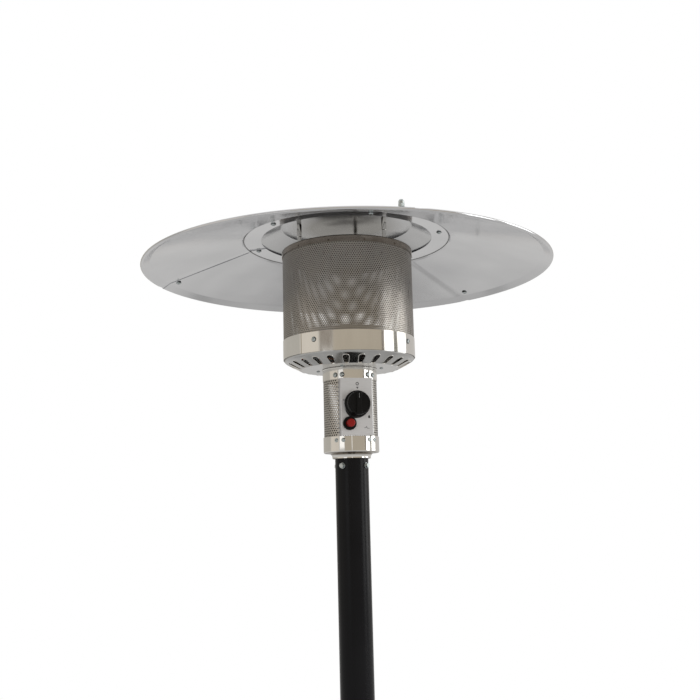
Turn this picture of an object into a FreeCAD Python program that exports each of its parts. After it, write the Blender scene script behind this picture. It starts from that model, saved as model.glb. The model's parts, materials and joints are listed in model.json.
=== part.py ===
"""Free-standing gas patio heater: reflector, emitter, control head, pole, legs, base, tank cover and wheels.

Millimetres. +Z is up, the control panel faces -Y, and the origin is the centre of the base on the ground.
"""
import FreeCAD, Part
import math
import os
import re

import Sketcher
from FreeCAD import Placement, Rotation, Vector

DIMENSIONS = {
    # Reflector: heights are above the rim's lowest point
    "rim_height": 2100, "rim_radius": 406.5, "rim_roll": 3.2,
    "lip_radius": 389, "lip_rise": 9, "cone_radius": 210, "cone_rise": 60,
    "ledge_radius": 172, "ledge_step": 3, "ledge_rise": 66, "reflector_sheet": 0.8,
    "panel_count": 3, "panel_sweep": 119.94, "seam_angle": 32,
    "cap_radius": 206, "crown_foot": 173, "crown_radius": 132, "crown_rise": 93,
    "cap_screw_radius": 190, "seam_bolt_radius": 374,
    # Emitter and burner: heights are above the rim, so negative below it
    "post_circle": 98.6, "post_radius": 4.5, "ring_radius": 131, "ring_top": 42, "ring_base": 30,
    "screen_radius": 129.6, "screen_sheet": 0.8, "screen_top": 38, "screen_base": -146,
    "band_radius": 130.6, "band_top": -139.5, "band_base": -177.5,
    "pan_radius": 128.6, "pan_top": -150, "pan_shoulder": -181, "pan_foot": 96, "pan_floor": -197.6,
    "pan_hole": 24, "pan_sheet": 0.8, "pan_screw_circle": 64, "band_screw_level": -154,
    "slot_count": 24, "slot_inner": 97, "slot_outer": 121, "slot_narrow": 7, "slot_wide": 14,
    "burner_radius": 95, "burner_base": -152, "burner_top": -112, "burner_sheet": 1, "burner_neck": 14.4,
    "injector_base": -206, "injector_stem_base": -196,
    "gallery_level": -180, "gallery_reach": 107, "gallery_riser": 19, "pilot_base": -152.9,
    "thermocouple_tip": -128, "electrode_base": -166,
    # Control head: heights are above the rim
    "collar_radius": 53.5, "collar_sheet": 0.8, "upper_collar_top": -197.8, "upper_collar_base": -221,
    "collar_bead": 1.3, "shell_radius": 52.5, "shell_top": -216, "shell_base": -336,
    "lower_collar_top": -331, "lower_collar_base": -361, "neck_radius": 36.5, "neck_base": -372,
    "upper_screw_level": -213, "lower_screw_level": -338.5,
    "plate_front": 60, "plate_half_width": 31.7, "plate_top": -221.2, "plate_base": -330.8, "plate_sheet": 1.2,
    "plate_depth": 18.5, "knob_level": -271, "igniter_level": -308, "igniter_offset": -15,
    "spindle_radius": 4, "knob_radius": 25, "knob_face_radius": 21.8, "knob_front": 82, "knob_gap": 3.6,
    "button_radius": 7.7, "button_front": 77, "bezel_radius": 13, "bezel_front": 64, "barrel_radius": 10,
    "valve_width": 40, "valve_depth": 30, "valve_front": 29, "valve_top": -249, "valve_base": -293,
    "valve_offset": -14, "spindle_back": -31, "spindle_length": 47, "bracket_back": -44.6, "bracket_height": 46,
    "barrel_back": 22, "button_back": 52, "lead_back": 14, "tilt_switch_base": -262, "tilt_switch_offset": 37,
    # Pole, foot and legs: heights are above the ground
    "pole_radius": 32.4, "pole_wall": 1.5, "pole_top": -364, "pole_bolt_level": -386,
    "spigot_base": -440, "spigot_top": -350, "foot_height": 640, "foot_sheet": 3, "foot_flange": 70,
    "foot_socket_top": 690, "foot_hole": 28,
    "leg_radius": 182, "leg_sheet": 4, "leg_width": 32, "leg_bend_height": 520,
    "leg_tab": 34, "leg_reach": 41, "leg_bolt_circle": 162, "foot_bolt_circle": 56,
    # Base, tank cover and wheels
    "base_radius": 230, "base_wall": 197, "base_height": 34, "base_sheet": 1.5, "anchor_circle": 221,
    "anchor_radius": 4.5, "anchor_count": 4,
    "cover_radius": 200.8, "cover_sheet": 0.8, "cover_base": 1.8, "cover_top": 688, "lid_radius": 201.9,
    "lid_foot": 674, "lid_edge": 692, "lid_height": 722, "lid_hole": 37, "bush_bore": 33, "bush_radius": 46,
    "wheel_radius": 65, "wheel_height": 70, "wheel_reach": 262, "wheel_track": 98, "hub_length": 34,
    "axle_radius": 4, "ear_offset": 74, "ear_sheet": 3, "bracket_front": 203,
    "bracket_floor": 30, "bracket_sheet": 2.5, "bracket_bolt_offset": 42,
}

POST_ANGLES = (66.5, 186.5, 306.5)
LEG_ANGLES = (90, 210, 330)
BAND_SCREW_ANGLES = (48, 138, 228, 318)
PAN_SCREW_ANGLES = (65, 155, 245, 335)
COLLAR_SCREW_ANGLES = (226.6, 242, 298, 313.4, 75, 105)
PILOT_ANGLE = 200
THERMOCOUPLE_ANGLE = 216
ELECTRODE_ANGLE = 141
UPRIGHT = Vector(0, 0, 1)
FRONTWARD = Vector(0, -1, 0)

document = FreeCAD.newDocument("PatioHeater")
sheet = document.addObject("Spreadsheet::Sheet", "Sizes")
for row, (alias, size) in enumerate(DIMENSIONS.items(), start=1):
    sheet.set(f"A{row}", alias)
    sheet.set(f"B{row}", str(size))
    sheet.setAlias(f"B{row}", alias)
document.recompute()

subparts = []


# ---------------------------------------------------------------- expressions and sketches

def bound(expression):
    """The expression with each alias turned into a reference to the sheet's cell."""
    def refer(word):
        return f"Sizes.{word[0]}" if word[0] in DIMENSIONS else word[0]

    return re.sub(r"[a-z_]+", refer, str(expression))


def value(expression):
    return float(sheet.evalExpression(bound(expression)))


def place(x, y, z):
    return Vector(value(x), value(y), value(z))


def head(level):
    """Height above the ground of a level that is given from the reflector's rim."""
    return f"(rim_height + {level})"


def bind(feature, name, expression):
    feature.setExpression(name, bound(expression))


def keep(feature, label):
    """Name a finished sub-part, which is then written to its own file."""
    feature.Label = label
    subparts.append(feature)
    return feature


def origin_feature(body, role):
    return next(item for item in body.Origin.OriginFeatures if item.Role == role)


def new_sketch(body, plane, lift="0"):
    sketch = body.newObject("Sketcher::SketchObject", f"{body.Name}Sketch")
    sketch.AttachmentSupport = [(origin_feature(body, plane), "")]
    sketch.MapMode = "FlatFace"
    bind(sketch, "AttachmentOffset.Base.z", lift)
    return sketch


def hold_point(sketch, geometry, end, x, y):
    """Tie a point of the sketch to the sheet, across and up from the sketch's origin."""
    across = sketch.addConstraint(Sketcher.Constraint("DistanceX", -1, 1, geometry, end, value(x)))
    bind(sketch, f"Constraints[{across}]", x)
    up = sketch.addConstraint(Sketcher.Constraint("DistanceY", -1, 1, geometry, end, value(y)))
    bind(sketch, f"Constraints[{up}]", y)


def corner_arc(corner, before, after, radius):
    """The arc that rounds a corner between two directions, and its ends in order of travel."""
    back = -before
    half = back.getAngle(after) / 2
    reach = radius / math.tan(half)
    centre = corner + (back + after).normalize() * (radius / math.sin(half))
    start = corner + back * reach
    end = corner + after * reach
    circle = Part.Circle(centre, Vector(0, 0, 1), radius)
    if before.cross(after).z > 0:
        return Part.ArcOfCircle(circle, circle.parameter(start), circle.parameter(end)), start, end, (1, 2)
    return Part.ArcOfCircle(circle, circle.parameter(end), circle.parameter(start)), start, end, (2, 1)


def draw_outline(sketch, corners):
    """Close the corners, each (x, y) or (x, y, rounding), with lines and tangent arcs."""
    at = [Vector(value(x), value(y), 0) for x, y, *_ in corners]
    count = len(at)
    way = [(at[(i + 1) % count] - at[i]).normalize() for i in range(count)]
    arcs = {}
    for i, (_, _, *rounding) in enumerate(corners):
        if rounding:
            arcs[i] = corner_arc(at[i], way[i - 1], way[i], value(rounding[0]))
    lines = []
    for i in range(count):
        after = (i + 1) % count
        start = arcs[i][2] if i in arcs else at[i]
        end = arcs[after][1] if after in arcs else at[after]
        lines.append(sketch.addGeometry(Part.LineSegment(start, end)))
    for i, (x, y, *rounding) in enumerate(corners):
        before = lines[i - 1]
        if i not in arcs:
            sketch.addConstraint(Sketcher.Constraint("Coincident", before, 2, lines[i], 1))
            hold_point(sketch, lines[i], 1, x, y)
            continue
        arc, _, _, (first, last) = arcs[i]
        bend = sketch.addGeometry(arc)
        tip = sketch.addGeometry(Part.Point(at[i]), True)
        sketch.addConstraint(Sketcher.Constraint("Tangent", before, 2, bend, first))
        sketch.addConstraint(Sketcher.Constraint("Tangent", bend, last, lines[i], 1))
        sketch.addConstraint(Sketcher.Constraint("PointOnObject", tip, 1, before))
        sketch.addConstraint(Sketcher.Constraint("PointOnObject", tip, 1, lines[i]))
        radius = sketch.addConstraint(Sketcher.Constraint("Radius", bend, value(rounding[0])))
        bind(sketch, f"Constraints[{radius}]", rounding[0])
        hold_point(sketch, tip, 1, x, y)


def draw_circle(sketch, x, y, radius):
    centre = Vector(value(x), value(y), 0)
    circle = sketch.addGeometry(Part.Circle(centre, Vector(0, 0, 1), value(radius)))
    size = sketch.addConstraint(Sketcher.Constraint("Radius", circle, value(radius)))
    bind(sketch, f"Constraints[{size}]", radius)
    hold_point(sketch, circle, 3, x, y)


def skin(line, thickness, side):
    """Corners of a sheet whose one face is the line, the other to its left (side 1) or right (side -1)."""
    at = [Vector(value(x), value(y), 0) for x, y, *_ in line]
    way = [(b - a).normalize() for a, b in zip(at, at[1:])]
    square = [Vector(-step.y, step.x, 0) * side for step in way]
    other = []
    for i, (x, y, *rounding) in enumerate(line):
        before = max(i - 1, 0)
        after = min(i, len(way) - 1)
        miter = (square[before] + square[after]) * (1 / (1 + square[before].dot(square[after])))
        corner = [f"{x} + ({miter.x:.6f}) * {thickness}", f"{y} + ({miter.y:.6f}) * {thickness}"]
        if rounding:
            turns_towards = way[before].cross(way[after]).z * side > 0
            corner.append(f"{rounding[0]} {'-' if turns_towards else '+'} {thickness}")
        other.append(tuple(corner))
    return list(line) + other[::-1]


# ---------------------------------------------------------------- solids

def new_body(name):
    body = document.addObject("PartDesign::Body", name)
    body.AllowCompound = True
    return body


def add_revolution(body, sketch, sweep="360"):
    turned = body.newObject("PartDesign::Revolution", f"{body.Name}Revolution")
    turned.Profile = sketch
    turned.ReferenceAxis = (origin_feature(body, "Z_Axis"), [""])
    bind(turned, "Angle", sweep)
    sketch.Visibility = False
    document.recompute()
    return turned


def revolve(name, corners, sweep="360", beads=()):
    """A body turned about its own Z axis from an outline of (radius, height), with round beads added."""
    body = new_body(name)
    sketch = new_sketch(body, "XZ_Plane")
    draw_outline(sketch, corners)
    add_revolution(body, sketch, sweep)
    for radius, height, size in beads:
        bead = new_sketch(body, "XZ_Plane")
        draw_circle(bead, radius, height, size)
        add_revolution(body, bead, sweep)
    return body


def pad(name, plane, corners, length, lift="0", both_ways=False):
    """A body raised from an outline on one of its origin planes."""
    body = new_body(name)
    sketch = new_sketch(body, plane, lift)
    draw_outline(sketch, corners)
    raised = body.newObject("PartDesign::Pad", f"{name}Pad")
    raised.Profile = sketch
    bind(raised, "Length", length)
    if both_ways:
        raised.SideType = "Symmetric"
    document.recompute()
    return body


def pierce(body, plane, draw, count="1"):
    """Cut what draw(sketch) draws right through the body, both ways, and repeat it round the Z axis."""
    before = body.Shape.Volume
    sketch = new_sketch(body, plane)
    draw(sketch)
    hole = body.newObject("PartDesign::Pocket", f"{body.Name}Pocket")
    hole.Profile = sketch
    hole.SideType = "Symmetric"
    hole.Type = "ThroughAll"
    document.recompute()
    if value(count) > 1:
        pattern = body.newObject("PartDesign::PolarPattern", f"{body.Name}Pattern")
        pattern.Originals = [hole]
        pattern.Axis = (origin_feature(body, "Z_Axis"), [""])
        pattern.Angle = 360
        bind(pattern, "Occurrences", count)
        body.Tip = pattern
        document.recompute()
    if not body.Shape.Volume < before:
        raise ValueError(f"{body.Name}: the hole cuts nothing")
    return body


def set_place(feature, x, y, z, direction=UPRIGHT):
    """Stand a feature at a point, with its own Z axis along the direction."""
    feature.Placement = Placement(place(x, y, z), Rotation(UPRIGHT, direction))
    for axis, expression in zip("xyz", (x, y, z)):
        bind(feature, f"Placement.Base.{axis}", expression)
    return feature


def turn_place(feature, angle, height="0"):
    """Turn a feature about the heater's axis and raise it."""
    feature.Placement = Placement(place(0, 0, height), Rotation(UPRIGHT, angle))
    bind(feature, "Placement.Base.z", height)
    return feature


def shift_sideways(feature, x):
    """Shift a finished body along X without turning it."""
    feature.Placement = Placement(place(x, "0", "0"), Rotation())
    bind(feature, "Placement.Base.x", x)
    return feature


def radial(angle):
    return Vector(math.cos(math.radians(angle)), math.sin(math.radians(angle)), 0)


def polar(radius, angle):
    """Expressions for a point at a radius and an angle round the heater's axis."""
    return f"({radius}) * cos({angle})", f"({radius}) * sin({angle})"


def rod(name, radius, length, x, y, z, direction=UPRIGHT):
    cylinder = document.addObject("Part::Cylinder", name)
    bind(cylinder, "Radius", radius)
    bind(cylinder, "Height", length)
    return set_place(cylinder, x, y, z, direction)


def hexagon(name, across, length, x, y, z, direction=UPRIGHT):
    prism = document.addObject("Part::Prism", name)
    prism.Polygon = 6
    bind(prism, "Circumradius", f"({across}) / 2 / cos(30)")
    bind(prism, "Height", length)
    return set_place(prism, x, y, z, direction)


def block(name, width, depth, height, x, y, z):
    """A box centred on x and y that stands on z."""
    box = document.addObject("Part::Box", name)
    bind(box, "Length", width)
    bind(box, "Width", depth)
    bind(box, "Height", height)
    return set_place(box, f"{x} - ({width}) / 2", f"{y} - ({depth}) / 2", z)


def fuse(name, shapes):
    joined = document.addObject("Part::MultiFuse", name)
    joined.Shapes = shapes
    return joined


def cut(name, base, tool):
    trimmed = document.addObject("Part::Cut", name)
    trimmed.Base = base
    trimmed.Tool = tool
    return trimmed


def group(label, pieces):
    """Separate solids that share one node."""
    compound = document.addObject("Part::Compound", label)
    compound.Links = pieces
    return keep(compound, label)


def along(start, direction, distance):
    """Expressions for the point a distance along a direction from the start."""
    return [f"{c} + ({d:.6f}) * ({distance})" for c, d in zip(start, direction)]


def screw(name, start, outward, head_radius, head_height, shank_radius=2, shank=5):
    """A round-headed screw whose head stands outward from the surface at the start."""
    top = document.addObject("Part::Cone", f"{name}Head")
    top.Radius1 = head_radius
    top.Radius2 = head_radius * 0.72
    top.Height = head_height
    set_place(top, *start, outward)
    stem = rod(f"{name}Shank", shank_radius, shank, *along(start, outward, -shank), outward)
    return fuse(name, [top, stem])


def bolt(name, start, outward, across, head_height, shank_radius, shank, washer):
    """A hexagon-headed bolt on a washer, its washer's underside at the start."""
    washer_height = 1.2
    disc = rod(f"{name}Washer", washer, washer_height, *start, outward)
    top = hexagon(f"{name}Head", across, head_height, *along(start, outward, washer_height), outward)
    stem = rod(f"{name}Shank", shank_radius, shank, *along(start, outward, -shank), outward)
    return fuse(name, [disc, top, stem])


def cap_nut(name, start, across, thread_radius):
    """A domed hexagon nut, closed at its top, standing on its open end."""
    flats = hexagon(f"{name}Hex", across, "5.5", *start)
    dome = revolve(f"{name}Dome", [("0", "0"), ("4.7", "0"), ("4.7", "13", "4"), ("0", "13")])
    hole = rod(f"{name}Bore", f"{thread_radius} + 0.05", "10", *start)
    return cut(name, fuse(f"{name}Blank", [flats, set_place(dome, *start)]), hole)


def bent_tube(label, radius, bend, route):
    """A round tube or lead along straight runs joined by tangent arcs."""
    runs = []
    start = route[0]
    for before, corner, after in zip(route, route[1:], route[2:]):
        arrive = (corner - before).normalize()
        leave = (after - corner).normalize()
        half = (-arrive).getAngle(leave) / 2
        reach = bend / math.tan(half)
        entry = corner - arrive * reach
        leaving = corner + leave * reach
        inward = (leave - arrive).normalize()
        middle = corner + inward * (bend / math.sin(half) - bend)
        runs.append(Part.LineSegment(start, entry).toShape())
        runs.append(Part.Arc(entry, middle, leaving).toShape())
        start = leaving
    runs.append(Part.LineSegment(start, route[-1]).toShape())
    path = Part.Wire(runs)
    section = Part.Wire([Part.makeCircle(radius, route[0], route[1] - route[0])])
    tube = document.addObject("Part::Feature", label)
    tube.Shape = path.makePipeShell([section], True, False)
    expected = math.pi * radius ** 2 * path.Length
    if abs(tube.Shape.Volume - expected) > 0.02 * expected:
        raise ValueError(f"{label}: the tube's volume is wrong")
    return keep(tube, label)


# ---------------------------------------------------------------- reflector

def make_reflector():
    roll_centre = "(rim_radius - rim_roll)"
    panel_line = [
        (roll_centre, "rim_roll"),
        ("lip_radius", "lip_rise", "14"),
        ("cone_radius", "cone_rise", "2"),
        ("cone_radius - ledge_step", "cone_rise + ledge_step", "2"),
        ("ledge_radius", "ledge_rise"),
    ]
    section = skin(panel_line, "reflector_sheet", -1)
    for number in range(int(value("panel_count"))):
        panel = revolve(f"Panel{number + 1}", section, "panel_sweep", [(roll_centre, "rim_roll", "rim_roll")])
        turn_place(panel, value("seam_angle") + 360 / value("panel_count") * number, "rim_height")
        keep(panel, f"reflector_panel_{number + 1}")

    cap_lift = "ledge_rise + 1.4"
    cap_line = [
        ("cap_radius", "cone_rise + ledge_step + 1.6"),
        ("crown_foot + 4", cap_lift, "4"),
        ("crown_radius", "crown_rise", "6"),
        ("0", "crown_rise"),
    ]
    cap = revolve("Cap", skin(cap_line, "reflector_sheet", -1))
    for angle in POST_ANGLES:
        pierce(cap, "XY_Plane", lambda sketch: draw_circle(sketch, *polar("post_circle", angle), "3.2"))
    keep(turn_place(cap, 0, "rim_height"), "reflector_cap")

    ledge = head("cone_rise + ledge_step + 1.2")
    cap_screws = []
    for number in range(6):
        angle = value("seam_angle") + 60 * number
        start = (*polar("cap_screw_radius", angle), ledge)
        cap_screws.append(screw(f"CapScrew{number}", start, -UPRIGHT, 4.4, 2.6, 2, 6))
    group("reflector_cap_screws", cap_screws)

    seam_bolts = []
    seam_nuts = []
    seam_level = head("lip_rise + (lip_radius - seam_bolt_radius) * (cone_rise - lip_rise)"
                      " / (lip_radius - cone_radius)")
    for number in range(int(value("panel_count"))):
        angle = value("seam_angle") + 120 * number
        centre = polar("seam_bolt_radius", angle)
        seam_bolts.append(screw(f"SeamBolt{number}", (*centre, seam_level), -UPRIGHT, 5.2, 3, 3, 12))
        seam_nuts.append(cap_nut(f"SeamNut{number}", (*centre, f"{seam_level} + 2.6"), 10, 3))
    group("seam_bolts", seam_bolts)
    group("seam_nuts", seam_nuts)


# ---------------------------------------------------------------- emitter and burner

def make_posts():
    posts = []
    nuts = []
    seat = head("ring_top")
    crown = head("crown_rise")
    for number, angle in enumerate(POST_ANGLES):
        centre = polar("post_circle", angle)
        shank = rod(f"Post{number}Shank", "post_radius", f"{crown} - {seat} - 0.1", *centre, seat)
        stud = rod(f"Post{number}Stud", "3", "16", *centre, f"{crown} - 1")
        posts.append(fuse(f"Post{number}", [shank, stud]))
        washer = rod(f"PostWasher{number}", "8", "1.4", *centre, f"{crown} + reflector_sheet + 0.1")
        hub = rod(f"PostHub{number}", "5.5", "7", *centre, f"{crown} + reflector_sheet + 1.5")
        wing = block(f"PostWing{number}", "26", "2.4", "9", *centre, f"{crown} + reflector_sheet + 3")
        bore = rod(f"PostBore{number}", "3.05", "20", *centre, f"{crown} - 1")
        nuts.append(cut(f"PostNut{number}", fuse(f"PostNutBlank{number}", [washer, hub, wing]), bore))
    group("reflector_posts", posts)
    group("post_wing_nuts", nuts)


def make_emitter():
    top_line = [
        ("ring_radius", head("ring_base")),
        ("ring_radius", head("ring_top"), "2.5"),
        ("screen_radius - 8", head("ring_top")),
    ]
    keep(revolve("TopRing", skin(top_line, "screen_sheet", 1)), "emitter_top_ring")

    lid_line = [
        ("screen_radius - 1.2", head("screen_top - 8")),
        ("screen_radius - 1.2", head("screen_top + 2"), "3"),
        ("0", head("screen_top + 2")),
    ]
    keep(revolve("TopPlate", skin(lid_line, "screen_sheet", 1)), "emitter_top_plate")

    screen = [
        ("screen_radius", head("screen_base")),
        ("screen_radius", head("screen_top")),
        ("screen_radius - screen_sheet", head("screen_top")),
        ("screen_radius - screen_sheet", head("screen_base")),
    ]
    keep(revolve("Screen", screen), "emitter_screen")

    band = [
        ("band_radius", head("band_base")),
        ("band_radius", head("band_top")),
        ("band_radius - screen_sheet", head("band_top")),
        ("band_radius - screen_sheet", head("band_base")),
    ]
    keep(revolve("Band", band), "emitter_band")

    screws = []
    for number, angle in enumerate(BAND_SCREW_ANGLES):
        start = (*polar("band_radius", angle), head("band_screw_level"))
        screws.append(screw(f"BandScrew{number}", start, radial(angle), 4.2, 2.4))
    group("band_screws", screws)


def make_burner():
    pan_line = [
        ("pan_radius", head("pan_top")),
        ("pan_radius", head("pan_shoulder"), "6"),
        ("pan_foot", head("pan_floor"), "5"),
        ("pan_hole", head("pan_floor")),
    ]
    pan = revolve("Pan", skin(pan_line, "pan_sheet", -1))
    narrow = "slot_narrow / 2"
    wide = "slot_wide / 2"
    slot = [
        (f"-({narrow})", "-slot_inner", "2.5"),
        (f"-({wide})", "-slot_outer", "6"),
        (wide, "-slot_outer", "6"),
        (narrow, "-slot_inner", "2.5"),
    ]
    pierce(pan, "XY_Plane", lambda sketch: draw_outline(sketch, slot), "slot_count")
    keep(pan, "burner_pan")

    pan_screws = []
    for number, angle in enumerate(PAN_SCREW_ANGLES):
        start = (*polar("pan_screw_circle", angle), head("pan_floor"))
        pan_screws.append(screw(f"PanScrew{number}", start, -UPRIGHT, 3, 1.8))
    group("pan_screws", pan_screws)

    burner_line = [
        ("burner_neck", head("burner_base - 12")),
        ("burner_neck", head("burner_base"), "6"),
        ("burner_radius", head("burner_base + 14"), "5"),
        ("burner_radius", head("burner_top - 12"), "5"),
        ("20", head("burner_top")),
        ("0", head("burner_top")),
    ]
    keep(revolve("BurnerHead", skin(burner_line, "burner_sheet", 1)), "burner_head")

    tube_line = [
        ("15.5", head("burner_base - 34")),
        ("11.5", head("burner_base - 26"), "6"),
        ("burner_neck - burner_sheet", head("burner_base - 3")),
    ]
    keep(revolve("MixingTube", skin(tube_line, "burner_sheet", 1)), "mixing_tube")

    flats = hexagon("InjectorHex", "14", "injector_stem_base - injector_base", "0", "0", head("injector_base"))
    stem = rod("InjectorStem", "4.5", "14", "0", "0", head("injector_stem_base"))
    keep(fuse("Injector", [flats, stem]), "injector")


# ---------------------------------------------------------------- control head

def make_collars():
    upper_line = [
        ("collar_radius", head("upper_collar_base")),
        ("collar_radius", head("upper_collar_top"), "1.5"),
        ("collar_radius - 9", head("upper_collar_top")),
    ]
    bead = ("collar_radius - 0.4", head("upper_collar_top - collar_bead"), "collar_bead")
    keep(revolve("UpperCollar", skin(upper_line, "collar_sheet", 1), beads=[bead]), "upper_collar")

    lower_line = [
        ("collar_radius", head("lower_collar_top")),
        ("collar_radius", head("lower_collar_base"), "2"),
        ("neck_radius", head("lower_collar_base"), "9"),
        ("neck_radius", head("neck_base")),
    ]
    keep(revolve("LowerCollar", skin(lower_line, "collar_sheet", -1)), "lower_collar")

    screws = []
    for level in ("upper_screw_level", "lower_screw_level"):
        for angle in COLLAR_SCREW_ANGLES:
            start = (*polar("collar_radius", angle), head(level))
            screws.append(screw(f"CollarScrew{len(screws)}", start, radial(angle), 4, 2.4, 1.6, 4))
    group("collar_screws", screws)


def make_control_housing():
    shell = [
        ("shell_radius", head("shell_base")),
        ("shell_radius", head("shell_top")),
        ("shell_radius - collar_sheet", head("shell_top")),
        ("shell_radius - collar_sheet", head("shell_base")),
    ]
    gap = 2 * math.degrees(math.asin((value("plate_half_width") + 0.3) / value("shell_radius")))
    body = revolve("ControlShell", shell, f"{360 - gap:.4f}")
    keep(turn_place(body, -90 + gap / 2), "control_shell")

    back = "plate_depth - plate_front"
    section = skin([
        ("-plate_half_width", back),
        ("-plate_half_width", "-plate_front", "2.5"),
        ("plate_half_width", "-plate_front", "2.5"),
        ("plate_half_width", back),
    ], "plate_sheet", 1)
    plate = pad("ControlPlate", "XY_Plane", section, "plate_top - plate_base", head("plate_base"))
    pierce(plate, "XZ_Plane", lambda sketch: draw_circle(sketch, "0", head("knob_level"), "spindle_radius + 2"))
    igniter = ("igniter_offset", head("igniter_level"), "barrel_radius + 0.3")
    pierce(plate, "XZ_Plane", lambda sketch: draw_circle(sketch, *igniter))
    keep(plate, "control_plate")

    spigot_line = [
        ("pole_radius - pole_wall - 0.1", head("spigot_base")),
        ("pole_radius - pole_wall - 0.1", head("spigot_top"), "3"),
        ("collar_radius - collar_sheet - 1", head("spigot_top")),
    ]
    keep(revolve("Spigot", skin(spigot_line, "2", 1)), "head_spigot")


def make_valve():
    casting = block("ValveCasting", "valve_width", "valve_depth", "valve_top - valve_base",
                    "0", "valve_offset", head("valve_base"))
    boss = rod("ValveBoss", "11", "15", "0", "-valve_front", head("knob_level"), FRONTWARD)
    bore = rod("ValveBore", "spindle_radius + 0.06", "16.5", "0", "1.5 - valve_front", head("knob_level"),
               FRONTWARD)
    keep(cut("Valve", fuse("ValveBlank", [casting, boss]), bore), "gas_valve")

    bracket_front = "plate_sheet + 0.1 - plate_front"
    section = skin([
        ("-26", bracket_front), ("-26", "bracket_back", "3"),
        ("26", "bracket_back", "3"), ("26", bracket_front),
    ], "1.5", -1)
    bracket = pad("ValveBracket", "XY_Plane", section, "bracket_height", head("knob_level - 22"))
    pierce(bracket, "XZ_Plane", lambda sketch: draw_circle(sketch, "0", head("knob_level"), "11.2"))
    keep(bracket, "valve_bracket")

    shaft = revolve("Spindle", [
        ("0", "0"), ("spindle_radius", "0"), ("spindle_radius", "spindle_length", "0.8"),
        ("0", "spindle_length"),
    ])
    keep(set_place(shaft, "0", "spindle_back", head("knob_level"), FRONTWARD), "valve_spindle")

    nipple = rod("InletStem", "6", "34", "0", "valve_offset", f"{head('valve_base')} - 34.1")
    collar = hexagon("InletHex", "17", "12", "0", "valve_offset", f"{head('valve_base')} - 12.1")
    keep(fuse("Inlet", [nipple, collar]), "inlet_fitting")

    switch = block("TiltSwitch", "24", "15", "20", "0", "tilt_switch_offset", head("tilt_switch_base"))
    keep(switch, "tilt_switch")


def make_knob():
    depth = "knob_front - plate_front - knob_gap"
    outline = [
        ("spindle_radius + 0.06", "0"),
        ("knob_radius", "0"),
        ("knob_radius", "4", "1.2"),
        ("knob_face_radius + 0.8", "5.5", "1"),
        ("knob_face_radius", depth, "1.5"),
        ("0", depth),
        ("0", f"{depth} - 0.4"),
        ("spindle_radius + 0.06", f"{depth} - 0.4"),
    ]
    turned = revolve("KnobBody", outline)
    set_place(turned, "0", "-plate_front - knob_gap", head("knob_level"), FRONTWARD)
    grip = block("KnobGrip", "9", "4", "40", "0", "-knob_front - 1.5", f"{head('knob_level')} - 20")
    keep(fuse("Knob", [turned, grip]), "control_knob")


def make_igniter():
    face = "bezel_front - barrel_back"
    body = revolve("IgniterBody", [
        ("0", "0"), ("barrel_radius - 3", "0"), ("barrel_radius - 3", "16"), ("barrel_radius", "16"),
        ("barrel_radius", f"{face} - 3.8"), ("bezel_radius", f"{face} - 3.8"), ("bezel_radius", face, "1.2"),
        ("button_radius + 0.3", face), ("button_radius + 0.3", "24"), ("0", "24"),
    ])
    keep(set_place(body, "igniter_offset", "-barrel_back", head("igniter_level"), FRONTWARD), "igniter_body")

    button = revolve("IgniterButton", [
        ("0", "0"), ("button_radius", "0"), ("button_radius", "button_front - button_back", "2"),
        ("0", "button_front - button_back + 0.8"),
    ])
    set_place(button, "igniter_offset", "-button_back", head("igniter_level"), FRONTWARD)
    keep(button, "igniter_button")

    start = ("igniter_offset", "plate_sheet + 0.1 - plate_front", head("igniter_level"))
    outside = hexagon("IgniterNutHex", "23", "3.5", *start, -FRONTWARD)
    hole = rod("IgniterNutBore", "barrel_radius + 0.05", "3.5", *start, -FRONTWARD)
    keep(cut("IgniterNut", outside, hole), "igniter_nut")


def make_gas_lines():
    """Tubes and leads that rise from the valve through the hole in the burner pan."""
    valve_top = head("valve_top")
    gallery = head("gallery_level")
    bent_tube("gas_tube", 4, 10, [
        place("0", "valve_offset", valve_top), place("0", "valve_offset", f"{valve_top} + 17"),
        place("0", "0", f"{valve_top} + 31"), place("0", "0", head("injector_base - 0.1")),
    ])
    tips = (("pilot_tube", 2, PILOT_ANGLE, "pilot_base - 0.1"),
            ("thermocouple", 1.6, THERMOCOUPLE_ANGLE, "thermocouple_tip"))
    for label, size, angle, tip in tips:
        bent_tube(label, size, 8, [
            place(*polar("gallery_riser", angle), valve_top), place(*polar("gallery_riser", angle), gallery),
            place(*polar("gallery_reach", angle), gallery), place(*polar("gallery_reach", angle), head(tip)),
        ])
    pilot = revolve("PilotBurner", [("0", "0"), ("5", "0"), ("5", "16", "1"), ("7", "20"), ("7", "26", "1"),
                                    ("0", "26")])
    keep(set_place(pilot, *polar("gallery_reach", PILOT_ANGLE), head("pilot_base")), "pilot_burner")
    electrode = revolve("Electrode", [("0", "0"), ("4", "0"), ("4", "24", "1"), ("1.2", "26"), ("1.2", "40"),
                                      ("0", "40")])
    spark = polar("gallery_reach", ELECTRODE_ANGLE)
    keep(set_place(electrode, *spark, head("electrode_base")), "ignition_electrode")
    riser = polar("gallery_riser", ELECTRODE_ANGLE)
    bent_tube("ignition_lead", 1.4, 6, [
        place("igniter_offset", "0.1 - barrel_back", head("igniter_level")),
        place("igniter_offset", "lead_back", head("igniter_level")),
        place(*riser, head("igniter_level + 24")), place(*riser, gallery),
        place(*spark, gallery), place(*spark, head("electrode_base - 0.1")),
    ])


# ---------------------------------------------------------------- pole, foot and legs

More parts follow.
